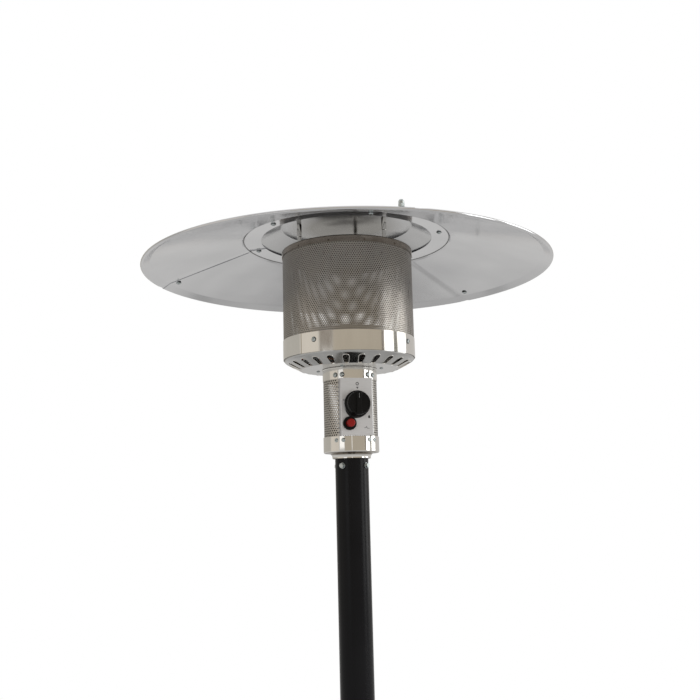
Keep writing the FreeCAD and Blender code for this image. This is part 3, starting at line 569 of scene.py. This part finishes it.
def make_panel(number, seam):
    """One pressed sector: its first edge laps over the sector before it, and its rim is rolled inward.

    The pressed sheet is slightly wavy between its flat inner edge and the rim.
    """
    start = seam - LAP_ANGLE / 2
    end = seam + 120 + LAP_ANGLE / 2
    centre = (RIM_RADIUS - ROLL - 0.1 * MM, RIM + ROLL + 0.1 * MM)
    inner = rounded(mm_line([(172, 66), (207, 63.4, 2), (210.5, 60, 2), (388, 9.3, 6), (401.4, 0.8)], RIM))
    dense = []
    for (r0, z0), (r1, z1) in zip(inner, inner[1:]):
        count = max(1, round(math.dist((r0, z0), (r1, z1)) / LONGEST_STEP))
        dense += [(r0 + (r1 - r0) * i / count, z0 + (z1 - z0) * i / count) for i in range(count)]

    def section(angle):
        lap = ramp((2.2 * LAP_ANGLE - angle + start) / LAP_ANGLE)
        lap = lap * lap * (3 - 2 * lap)
        line = []
        for r, z in dense:
            sway = noise.noise(Vector((*polar(r * WAVES_PER_METRE, angle), number)))
            fade = ramp((RIM_RADIUS - 30 * MM - r) / (40 * MM)) * ramp((r - 215 * MM) / (30 * MM))
            line.append((r, z + LAP_RISE * lap + WAVE_HEIGHT * sway * fade))
        return line + arc(centre, ROLL * (1 - 0.34 * lap), -124, 150, 16)

    shape = swept(section, evenly(start, end, 132), False, False)
    thicken(new_mesh(f"reflector_sector_{number + 1}", shape, "reflector_aluminium",
                     [f"reflector_panel_{number + 1}"], reflector_look(seam + 60)), 1)


def make_reflector():
    for number, seam in enumerate(SEAM_ANGLES):
        make_panel(number, seam)
    # A thin dark ring along the cap's edge on the panels: a painted shadow line where the cap laps onto them.
    edge_shadow_line = mm_line([(205.6, 63.6), (207.4, 62.9), (207.4, 62.4), (205.6, 63.2)], RIM)
    new_mesh("crown_edge_painted_shadow", swept_round(lambda angle: edge_shadow_line, FINE, True), "cap_aluminium",
             look=CROWN_EDGE_SHADOW_LOOK)
    line = rounded(mm_line([(206, 65.2), (177, 67.6, 4), (132, CROWN, 7), (30, CROWN), (1, CROWN)], RIM))
    turned_sheet("reflector_crown", line, "cap_aluminium", ["reflector_cap"], side=1)


# ---------------------------------------------------------------- perforated sheet

def perforated_sheet(name, radius, bottom, top, first_hole, last_hole, cells, rows, hole, columns, slot,
                     replaced=(), plain=lambda angle: False, gone=lambda angle: False):
    """A cylinder of sheet with staggered round holes. Cells count the whole circle, columns the part made."""
    pitch = 2 * math.pi / cells
    tall = (last_hole - first_hole) / rows
    edge_levels = {-1: bottom, 2 * rows + 1: top}
    points = []
    index = {}
    faces = []

    def corner(half_column, level):
        """A point at a number of half columns round and half rows up."""
        key = (half_column % (2 * cells), level)
        if key not in index:
            index[key] = len(points)
            turn = key[0] * pitch / 2
            height = edge_levels.get(level, first_hole + level * tall / 2)
            points.append((radius * math.cos(turn), radius * math.sin(turn), height))
        return index[key]

    def plain_edge(left, inside, outside):
        """The two faces between a row of cells and the sheet's straight edge."""
        for step in range(2):
            faces.append((corner(left + step, outside), corner(left + step + 1, outside),
                          corner(left + step + 1, inside), corner(left + step, inside)))

    for row in range(rows):
        for column in range(*columns):
            left = 2 * column + row % 2
            angle = math.degrees((left + 1) * pitch / 2) % 360
            if gone(angle):
                continue
            up = 2 * row
            ring = [corner(left + across, up + rise) for across, rise in
                    ((0, 0), (1, 0), (2, 0), (2, 1), (2, 2), (1, 2), (0, 2), (0, 1))]
            if row == 0:
                plain_edge(left, up, -1)
            if row == rows - 1:
                plain_edge(left, up + 2, 2 * rows + 1)
            if plain(angle):
                faces.append(ring)
                continue
            edge = []
            for spoke in evenly(-135, 180, 7):
                across, rise = polar(hole, spoke)
                turn = (left + 1) * pitch / 2 + across / radius
                edge.append(len(points))
                points.append((radius * math.cos(turn), radius * math.sin(turn),
                               first_hole + (row + 0.5) * tall + rise))
            for step in range(8):
                after = (step + 1) % 8
                faces.append((ring[step], ring[after], edge[after], edge[step]))
    piece = new_mesh(name, (points, faces), slot, replaced)
    edit = bmesh.new()
    edit.from_mesh(piece.data)
    for side in edit.edges:
        side.smooth = not side.is_boundary
    outward = [face.normal.dot(Vector((*face.calc_center_median().xy, 0))) for face in edit.faces[:50]]
    if sum(outward) < 0:
        bmesh.ops.reverse_faces(edit, faces=edit.faces)
    edit.to_mesh(piece.data)
    edit.free()
    # The inside face and the hole walls are painted nearly black: painted shade inside the shell and in its
    # holes.
    piece.data.materials.append(SHELL_INSIDE_SHADE_LOOK)
    make_solid(piece, SHEET, -1, material_offset=1, material_offset_rim=1)


def make_emitter():
    cells = 183
    shares = 3
    for share in range(shares):
        columns = (cells // shares * share, cells // shares * (share + 1))
        perforated_sheet(f"emitter_mesh_{share + 1}", SCREEN_RADIUS, SCREEN_LOW, SCREEN_HIGH, above_rim(-139),
                         above_rim(29.5), cells, 46, 1.33 * MM, columns, "emitter_steel",
                         ["emitter_screen"] if share == 0 else [])
    ring = rounded(mm_line([(131, 29.6), (131, 42, 2.5), (124, 42, 1), (122, 40.2)], RIM))
    turned_sheet("emitter_rim_ring", ring, "emitter_steel", ["emitter_top_ring"], RING_LOOK)
    foot = mm_line([(130.4, -177.5), (130.4, -139.5)], RIM)
    wrapped_sheet("emitter_foot_band", foot, -148.5, 3, 0.9 * MM, "polished_steel", ["emitter_band"])


def make_slot_lips():
    """The narrow rolled lip round every air slot of the burner pan."""
    outline = rounded([(-3.9, -96.6, 2.7), (-7.4, -121.4, 6.2), (7.4, -121.4, 6.2), (3.9, -96.6, 2.7)], 6)
    profile = ((-0.45, -0.15), (-0.4, 0.45), (0.1, 0.6), (0.5, 0.3), (0.55, -0.15))
    pan_slope = 16.6 / 32.6
    slots = 24
    lips = []
    for slot in range(slots):
        turn = Matrix.Rotation(math.radians(360 / slots * slot), 4, "Z")
        points = []
        for i, (x, y) in enumerate(outline):
            way = (Vector(outline[(i + 1) % len(outline)]) - Vector(outline[i - 1])).normalized()
            for out, down in profile:
                px = x + way.y * out
                py = y - way.x * out
                level = -197.6 + (math.hypot(px, py) - 96) * pan_slope - down
                points.append(turn @ Vector((px * MM, py * MM, above_rim(level))))
        lips.append((points, grid_faces(len(outline), len(profile), True, True)))
    new_mesh("burner_pan_slot_lips", joined(*lips), "polished_steel")


# ---------------------------------------------------------------- control head

def make_collars():
    bead = arc((53.2, -198.9), 1.3, -60, 120, 8)
    upper = rounded(mm_line([(53.4, -221), (53.4, -199.6), *bead, (44, -197.8)], RIM))
    turned_sheet("upper_collar_sheet", upper, "polished_steel", ["upper_collar"])
    lower = rounded(mm_line([(53.4, -331), (53.4, -361, 2.2), (36.6, -361, 9), (36.6, -372)], RIM))
    wrapped_sheet("lower_collar_cup", lower, -99, 2.4, 0.8 * MM, "polished_steel", ["lower_collar"],
                  collar_painted_shade_look(), 1)


def make_control_shell():
    """The perforated shell: solid beside the control plate, and open behind it."""
    cells = 66
    half_width = 32 * MM
    half_gap = math.degrees(math.asin(half_width / SHELL_RADIUS))

    def off_front(angle):
        return abs((angle - 270 + 180) % 360 - 180)

    perforated_sheet("control_shell_mesh", SHELL_RADIUS, low("control_shell").z, high("control_shell").z,
                     above_rim(-330.5), above_rim(-221.5), cells, 25, 1.55 * MM, (0, cells),
                     "perforated_steel", ["control_shell"],
                     plain=lambda angle: off_front(angle) < half_gap + 2,
                     gone=lambda angle: off_front(angle) < half_gap - 1)


def screws_on_shade_rings(name, radius, height, stands, replaced):
    """Screw heads, each on a thin dark ring just wider than the head: painted shade round the head."""
    repeated(name, cross_head(radius, height), stands, "zinc", [replaced])
    ring = spun([(0, 0), (radius + 0.9 * MM, 0), (radius + 0.7 * MM, 0.25 * MM), (0, 0.25 * MM)])
    repeated(f"{name}_painted_shade_rings", ring, stands, "black_plastic", look=SCREW_SHADE_LOOK)


def make_head_screws():
    collar_angles = (226.6, 242, 298, 313.4, 75, 105)
    collars = [stand for level in (-213, -338.5)
               for stand in round_the_axis(COLLAR_RADIUS, above_rim(level), collar_angles)]
    screws_on_shade_rings("collar_screw_heads", 4 * MM, 2.4 * MM, collars, "collar_screws")
    band = round_the_axis(BAND_RADIUS, above_rim(-154), (48, 138, 228, 318))
    screws_on_shade_rings("band_screw_heads", 4.2 * MM, 2.4 * MM, band, "band_screws")
    pan = round_the_axis(64 * MM, above_rim(-197.6), (65, 155, 245, 335), DOWN)
    screws_on_shade_rings("pan_screw_heads", 3 * MM, 1.8 * MM, pan, "pan_screws")
    cap = round_the_axis(190 * MM, above_rim(64.2), evenly(32, 332, 5), DOWN)
    screws_on_shade_rings("cap_screw_heads", 4.4 * MM, 2.6 * MM, cap, "reflector_cap_screws")


def make_seam_bolts():
    """The bolts through the laps of the sectors near the rim, and the cap nuts above them."""
    slope = 51 / 179
    from_outer_bend = 15
    heads = round_the_axis(374 * MM, above_rim(9 + from_outer_bend * slope), SEAM_ANGLES, DOWN)
    shank = spun(mm_line([(0, 0), (3, 0), (3, -12), (0, -12)]))
    repeated("seam_bolt_heads", joined(cross_head(5.2 * MM, 3 * MM), shank), heads, "zinc", ["seam_bolts"])
    # A thin dark ring under each bolt head: painted shade round the head.
    ring = spun(mm_line([(3.1, 0), (6.2, 0), (6, 0.25), (3.1, 0.25)]))
    repeated("seam_bolt_painted_shade_rings", ring, heads, "black_plastic", look=SCREW_SHADE_LOOK)
    dome = spun(rounded(mm_line([(4.7, 5.4), (4.7, 13, 4), (0, 13)])))
    nuts = [stand_at(stand.translation + Vector((0, 0, 2.6 * MM)), UP, 17) for stand in heads]
    repeated("seam_cap_nuts", joined(hexagon_prism(10 * MM, 5.5 * MM), dome), nuts, "zinc", ["seam_nuts"])


def make_posts():
    """Turned stand-offs between the emitter and the reflector, with wing nuts above the cap."""
    crown = above_rim(CROWN)
    tall = (crown - RING_TOP) / MM
    post = [(0, 0), (6.5, 0), (6.5, 1.6, 0.5), (3.9, 1.8, 0.4), (3.9, 25, 0.4), (4.7, 26, 0.4),
            (4.7, tall - 0.3, 0.5), (0, tall - 0.2)]
    stands = round_the_axis(98.6 * MM, RING_TOP, (66.5, 186.5, 306.5), UP, 0)
    repeated("reflector_post_bodies", spun(rounded(mm_line(post), 2), 32), stands, "inner_steel",
             ["reflector_posts"], LOOKS["polished_steel"])

    hub = spun(rounded(mm_line([(0, 1.4), (5.8, 1.4), (4.6, 8.4, 1), (3.1, 8.4), (3.1, 13), (0, 13)]), 2))
    wing = mm_line([(4, -3.4), (7, -4.2, 1), (12.8, 0.4, 3), (12.8, 6, 2.4), (8.6, 6, 2.4), (4, 2)])
    points, faces = raised(rounded(wing, 4), 2.2 * MM, -1.1 * MM)
    wings = [([(side * x, z, y + 5.6 * MM) for x, y, z in points], faces) for side in (-1, 1)]
    seats = [stand_at((stand.translation.x, stand.translation.y, crown + 0.9 * MM), UP, 50 * i)
             for i, stand in enumerate(stands)]
    repeated("post_wing_nut_bodies", joined(washer(8 * MM, 1.4 * MM), hub, *wings), seats, "zinc",
             ["post_wing_nuts"])


def make_spot_welds():
    """The dimples of the spot welds that hold the rim ring to the emitter."""
    dimple = spun(mm_line([(0, 0), (1.9, 0), (1.5, 0.35), (0.7, 0.2), (0, 0.15)]), 16)
    stands = round_the_axis(RING_RADIUS, above_rim(32.6), evenly(-87, 243, 11))
    repeated("ring_spot_welds", dimple, stands, "emitter_steel", look=WELD_LOOK)


def make_plate_marks():
    """Plain printed signs on the control panel: a pointer, a ring, a flame, a spark and a widening arc."""
    front = PLATE_FRONT - 0.06 * MM

    def print_mark(number, outline, x, level):
        points, faces = raised([(px * MM, pz * MM) for px, pz in outline], 0.05 * MM)
        points = [(x * MM + px, front + depth, above_rim(level) + pz) for px, pz, depth in points]
        new_mesh(f"printed_mark_{number}", (points, faces), "plate_steel", look=INK_LOOK)

    def ring_outline(outer, inner, steps):
        return arc((0, 0), outer, 0, 360, steps) + arc((0, 0), inner, 0, 360, steps)[::-1]

    flame = rounded([(0, 4), (2.3, -0.6, 0.9), (1.5, -3, 1.1), (-1.5, -3, 1.1), (-2.3, -0.6, 0.9)], 3)
    spark = [(-5, 0.5), (-1.2, 0.5), (-0.2, 2.4), (1, -0.6), (5.4, -0.6), (5.4, 0.2), (1.6, 0.2), (-0.4, 4.2),
             (-2, 1.3), (-5, 1.3)]
    inside = 26.4
    sweep_inner = arc((0, 0), inside, -158, -54, 36)
    sweep_outer = []
    for (x, z), left in zip(sweep_inner, evenly(1, 0, 36)):
        grown = 1 + (0.4 + 4.4 * math.sin(math.pi * left ** 1.5)) / inside
        sweep_outer.append((x * grown, z * grown))
    print_mark(1, [(-2.2, 0), (2.2, 0), (0, -4)], 1.5, -238.6)
    print_mark(2, ring_outline(3.1, 1.8, 40), 1.5, -232.6)
    print_mark(3, flame, 23.2, -295.6)
    print_mark(4, spark, 18, -317.6)
    print_mark(5, ring_outline(1.5, 0.75, 24), -25.6, -263.6)
    print_mark(6, sweep_outer + sweep_inner[::-1], 2, -268.6)


def make_knob():
    """The moulded knob: a smooth skirt, a fluted body and a raised grip across its face."""
    flutes = 30
    depth = 18.4
    half = rounded([(0, 0), (25, 0), (25, 4, 1.3), (22.7, 5.4, 0.8), (21.8, depth, 1.6), (18.6, depth, 0.5),
                    (18, depth - 0.7, 0.5), (0, depth - 0.7)], 4)

    def section(angle):
        groove = 0.55 * max(0, math.cos(flutes * math.radians(angle)))
        return [(r - groove if 5.6 < z < depth - 0.6 and r > 19 else r, z) for r, z in half]

    waist = rounded([(-5.6, -20, 2.4), (5.6, -20, 2.4), (4.2, 0, 30), (5.6, 20, 2.4), (-5.6, 20, 2.4),
                     (-4.2, 0, 30)], 5)
    count = len(waist)
    grip = [(x, y, depth + rise) for rise in (-0.8, 1.2) for x, y in waist]
    grip += [(x * 0.86, y * 0.975, depth + 1.9) for x, y in waist]
    grip_faces = [*grid_faces(3, count, False, True), tuple(range(2 * count, 3 * count))]
    points, faces = joined(swept_round(section, flutes * 6), (grip, grip_faces))
    moulding = ([Vector(point) * MM for point in points], faces)
    knob_low, knob_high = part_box("control_knob")
    stand = stand_at((0, PLATE_FRONT - 3.6 * MM, (knob_low.z + knob_high.z) / 2), (0, -1, 0))
    repeated("knob_moulding", moulding, [stand], "black_plastic", ["control_knob"], body="knob")
    line = raised(mm_line([(-0.5, 9), (0.5, 9), (0.5, 18), (-0.5, 18)]), 0.12 * MM, (depth + 1.88) * MM)
    repeated("knob_pointer_line", line, [stand], "black_plastic", look=MARK_LOOK, body="knob")


# ---------------------------------------------------------------- pole, foot and legs

def make_pole():
    bottom = low("pole").z
    top = high("pole").z
    inner = POLE_RADIUS - 1.5 * MM
    edge = 0.35 * MM
    section = [(inner, bottom), (POLE_RADIUS - edge, bottom), (POLE_RADIUS, bottom + edge),
               (POLE_RADIUS, top - edge), (POLE_RADIUS - edge, top), (inner, top)]
    new_mesh("pole_tube", swept_round(lambda angle: section, MEDIUM, True), "black_powder_coat", ["pole"])
    stands = round_the_axis(POLE_RADIUS, above_rim(-386), (45, 135, 225, 315), spin=20)
    repeated("pole_bolt_heads", hexagon_bolt(9 * MM, 4.2 * MM, 5.8 * MM), stands, "zinc", ["pole_bolts"])


def make_leg_bolts():
    heads = hexagon_bolt(13 * MM, 5.3 * MM, 8.5 * MM)
    for name, circle, level, replaced in (("leg_foot_bolt_heads", 162, 38.1, "leg_foot_bolts"),
                                          ("leg_top_bolt_heads", 56, 643, "leg_top_bolts")):
        stands = [stand_at((*polar(circle * MM, angle), level * MM), UP, angle / 3)
                  for angle in (90, 210, 330)]
        repeated(name, heads, stands, "zinc", [replaced])
    stands = [stand_at((x * MM, 218 * MM, 4.1 * MM), UP, x) for x in (-42, 42)]
    heads = hexagon_bolt(10 * MM, 4.2 * MM, 6.5 * MM)
    repeated("bracket_bolt_heads", heads, stands, "zinc", ["bracket_bolts"])


# ---------------------------------------------------------------- tank cover and wheels

def make_cover():
    """The tank cover: a hemmed sleeve, lapped and riveted along its seam, and riveted to its lid."""
    radius = high("cover_sleeve").x
    bottom = low("cover_sleeve").z
    tall = high("cover_sleeve").z - bottom
    seam = 75
    overlap = 4.0
    hem = arc((radius + 0.3 * MM, bottom + 1.5 * MM), 1.4 * MM, -250, 60, 12)
    rise = [(radius, level) for level in evenly(bottom + 0.006 * tall, bottom + tall, 24)]

    def section(angle):
        lap = ramp((angle - seam - 360 + overlap) / 1.2)
        return [(r + (SHEET + 0.2 * MM) * lap, z) for r, z in hem + rise]

    angles = evenly(seam, seam + 360 + overlap, 360)
    sleeve = new_mesh("cover_sleeve_sheet", swept(section, angles, False, False), "black_powder_coat",
                      ["cover_sleeve"], body="tank_cover")
    thicken(sleeve, thickness=SHEET * 0.9)
    head = spun(mm_line([(0, 0), (3.6, 0), (3.5, 0.6), (2.6, 1.2), (1.2, 1.4), (0, 1.4)]), 20)
    rivets = round_the_axis(high("cover_lid").x, low("cover_lid").z + 7 * MM, evenly(30, 330, 5))
    repeated("cover_rivet_heads", head, rivets, "zinc", ["cover_rivets"], body="tank_cover")
    x, y = polar(radius + SHEET, seam + overlap / 2 - 0.2)
    pins = [stand_at((x, y, bottom + (0.06 + 0.1 * i) * tall), (x, y, 0)) for i in range(10)]
    repeated("cover_seam_rivets", head, pins, "zinc", body="tank_cover")


def make_wheels():
    """Moulded wheels: a grooved tyre, a ribbed web and a hub."""
    grooves = 40
    half = rounded([(4.1, -17), (14, -17, 1), (17, -5, 3), (50, -5, 3), (53, -15, 2), (65, -15, 5),
                    (65, 15, 5), (53, 15, 2), (50, 5, 3), (17, 5, 3), (14, 17, 1), (4.1, 17)], 4)

    def section(angle):
        in_groove = angle % (360 / grooves) < 2
        line = []
        for r, z in half:
            cut = 1.6 * (abs(z) - 3) / 12 if in_groove and r > 62 and abs(z) > 3 else 0
            line.append(((r - cut) * MM, z * MM))
        return line

    rib, rib_faces = raised(mm_line([(15, -1.5), (51.5, -1.1), (51.5, 1.1), (15, 1.5)]), 8 * MM, 4 * MM)
    rib = [(x, y, z if x > 0.03 or z < 5 * MM else z + 3 * MM) for x, y, z in rib]
    ribs = []
    for i in range(6):
        turn = Matrix.Rotation(math.radians(60 * i + 30), 4, "Z")
        for face in (-1, 1):
            ribs.append(([turn @ Vector((x, y * face, z * face)) for x, y, z in rib], rib_faces))
    wheel = joined(swept_round(section, grooves * 6, True), *ribs)
    for side, body, node in ((-1, "left_wheel", "wheel_left"), (1, "right_wheel", "wheel_right")):
        middle = (low(node) + high(node)) / 2
        stand = stand_at(middle, (side, 0, 0))
        repeated(f"{node}_moulding", wheel, [stand], "wheel_plastic", [node], body=body)


# ---------------------------------------------------------------- CAD pieces kept as they are

def dress_cad_nodes():
    """Give every CAD node the look of its material slot."""
    for part in frame["record"]["subparts"]:
        mesh = frame["nodes"][part["node"]].data
        for index in range(len(mesh.materials)):
            mesh.materials[index] = LOOKS[part["material_slot"]]
    frame["nodes"]["burner_pan"].data.materials[0] = PAN_LOOK
    frame["nodes"]["emitter_top_plate"].data.materials[0] = WELD_LOOK


def soften_cad_edges():
    """A small bevel on the plain-edged CAD pieces."""
    for node, width in (("control_plate", 0.3), ("wheel_bracket", 0.6), ("leg_1", 0.6), ("leg_2", 0.6),
                        ("leg_3", 0.6), ("gas_valve", 0.6), ("valve_bracket", 0.3), ("tilt_switch", 0.8),
                        ("wheel_axle", 0.4), ("igniter_nut", 0.4), ("inlet_fitting", 0.4), ("injector", 0.3)):
        bevel = frame["nodes"][node].modifiers.new("edge", "BEVEL")
        bevel.width = width * MM
        bevel.segments = 2
        bevel.limit_method = "ANGLE"
        bevel.angle_limit = math.radians(50)


# ---------------------------------------------------------------- stage, light and camera

FLOOR_RADIUS = 3.2
FADE_START = 0.5
LIGHTS_AIM = Vector((0, 0, 1.9))
# The room's brightness from straight down (0) to straight up (1).
ROOM_BY_HEIGHT = (
    (0.0, 0.5), (0.13, 0.53), (0.146, 0.43), (0.168, 0.45), (0.186, 0.57), (0.24, 0.6), (0.45, 0.64),
    (0.49, 0.6), (0.56, 0.46), (0.75, 0.6), (1.0, 0.8),
)
# Each wall or window: its azimuths in degrees from the front, positive to the right, its height as a
# direction's Z, how soft its sides are in degrees, and its colour.
WALLS = (
    (-180, -105, -0.12, 0.5, 4, (0.49, 0.47, 0.43)),
    (-105, -64, -0.12, 0.5, 3, (0.7, 0.65, 0.58)),
    (-64, -39, 0.145, 0.45, 2, (0.3, 0.265, 0.225)),
    (-60, -40, -0.05, 0.14, 1, (1.25, 1.23, 1.2)),
    (-39, 49, -0.12, 0.5, 2, (0.47, 0.42, 0.345)),
    (46, 52, -0.12, 0.5, 1, (0.24, 0.21, 0.18)),
    (52, 71, -0.1, 0.6, 1, (2.5, 2.5, 2.46)),
    (71, 80.5, -0.1, 0.6, 1, (0.28, 0.27, 0.24)),
    (80.5, 104, -0.1, 0.6, 1, (2.5, 2.5, 2.46)),
    (104, 180, -0.12, 0.5, 4, (0.59, 0.57, 0.55)),
    (148, 180, -0.085, 0.07, 4, (0.49, 0.485, 0.48)),
)


def make_stage():
    """A pale round floor that fades out at its edge."""
    bpy.ops.mesh.primitive_circle_add(vertices=128, radius=FLOOR_RADIUS, fill_type="NGON",
                                      location=(0, 0, -0.2 * MM))
    floor = bpy.context.object
    floor.name = "floor"
    look = Look("pale_floor", (0.86, 0.86, 0.86), 0.0, 0.7)
    look.roughness(look.noise(3), 0.65, 0.75)
    fade = look.spread(look.from_axis(), 1, 0, FADE_START, FLOOR_RADIUS - 0.1)
    look.fill(look.shader, {"Alpha": fade})
    floor.data.materials.append(look.material)
    floor.visible_glossy = False


def make_world():
    """White behind the heater; for reflections, a plain room with a warm back wall and two tall windows."""
    world = bpy.data.worlds.new("studio")
    bpy.context.scene.world = world
    world.use_nodes = True
    world.node_tree.nodes.clear()
    room = Nodes(world.node_tree)

    def between(source, start, end, soft):
        """1 where the source lies between two limits, fading to 0 outside them."""
        sides = ((start - soft, start + soft), (end + soft, end - soft))
        fades = [room.spread(source, 0, 1, *side, interpolation_type="SMOOTHSTEP") for side in sides]
        return room.calculate("MULTIPLY", *fades)

    place = room.add("ShaderNodeTexCoord").outputs["Generated"]
    x, y, z = room.add("ShaderNodeSeparateXYZ", {"Vector": place}).outputs
    azimuth = room.calculate("ARCTAN2", x, room.calculate("MULTIPLY", y, -1.0))
    height_ramp = room.add("ShaderNodeValToRGB", {"Fac": room.calculate("MULTIPLY_ADD", z, 0.5, 0.5)})
    elements = height_ramp.color_ramp.elements
    while len(elements) < len(ROOM_BY_HEIGHT):
        elements.new(0.5)
    for element, (height, level) in zip(elements, ROOM_BY_HEIGHT):
        element.position = height
        element.color = (level, level * 0.985, level * 0.96, 1)
    color = height_ramp.outputs["Color"]
    for start, end, low_side, high_side, soft, shade in WALLS:
        across = between(azimuth, math.radians(start), math.radians(end), math.radians(soft))
        up = between(z, low_side, high_side, 0.01 + soft * 0.004)
        color = room.mix(room.calculate("MULTIPLY", across, up), color, shade)
    reflected = room.add("ShaderNodeBackground", {"Color": color}).outputs["Background"]
    white = room.add("ShaderNodeBackground", {"Color": (1, 1, 1, 1)}).outputs["Background"]
    direct = room.add("ShaderNodeLightPath").outputs["Is Camera Ray"]
    seen = room.add("ShaderNodeMixShader", {"Fac": direct, 1: reflected, 2: white}).outputs["Shader"]
    room.add("ShaderNodeOutputWorld", {"Surface": seen})


def from_front(distance, azimuth, height):
    """A point at a distance from the axis, its azimuth in degrees from the front, positive to the right."""
    turn = math.radians(azimuth)
    return Vector((distance * math.sin(turn), -distance * math.cos(turn), height))


def softbox(name, azimuth, distance, height, width, tall, power):
    """A rectangular light aimed at the heater's head."""
    data = bpy.data.lights.new(name, "AREA")
    data.shape = "RECTANGLE"
    data.size = width
    data.size_y = tall
    data.energy = power
    light = bpy.data.objects.new(name, data)
    light.location = from_front(distance, azimuth, height)
    light.rotation_mode = "QUATERNION"
    light.rotation_quaternion = (LIGHTS_AIM - light.location).to_track_quat("-Z", "Y")
    light.visible_glossy = False
    bpy.context.collection.objects.link(light)


def make_lights():
    softbox("right_box", 62, 2.6, 1.9, 0.8, 2.2, 60)
    softbox("front_box", -30, 3.2, 2.4, 1.6, 1.6, 40)
    softbox("rear_box", 140, 2.8, 2.0, 0.8, 2.2, 40)


def make_camera():
    """The camera stands below the rim, to the left of the front, and looks up a little."""
    data = bpy.data.cameras.new("camera")
    data.lens = 46.29
    data.sensor_width = 36
    camera = bpy.data.objects.new("camera", data)
    heading = math.radians(-12.06)
    pitch = math.radians(9.27)
    roll = -0.0245
    distance = 1.7647
    below_rim = 0.4456
    camera.location = from_front(distance, -12, RIM - below_rim)
    turn = (Matrix.Rotation(heading, 4, "Z") @ Matrix.Rotation(math.pi / 2 + pitch, 4, "X")
            @ Matrix.Rotation(roll, 4, "Z"))
    camera.rotation_mode = "QUATERNION"
    camera.rotation_quaternion = turn.to_quaternion()
    bpy.context.collection.objects.link(camera)
    bpy.context.scene.camera = camera


make_camera()
make_world()
make_lights()
make_stage()
dress_cad_nodes()
make_reflector()
make_emitter()
make_slot_lips()
make_collars()
make_control_shell()
make_head_screws()
make_seam_bolts()
make_posts()
make_spot_welds()
make_plate_marks()
make_knob()
make_pole()
make_leg_bolts()
make_cover()
make_wheels()
soften_cad_edges()
bpy.context.scene.view_settings.view_transform = "Standard"
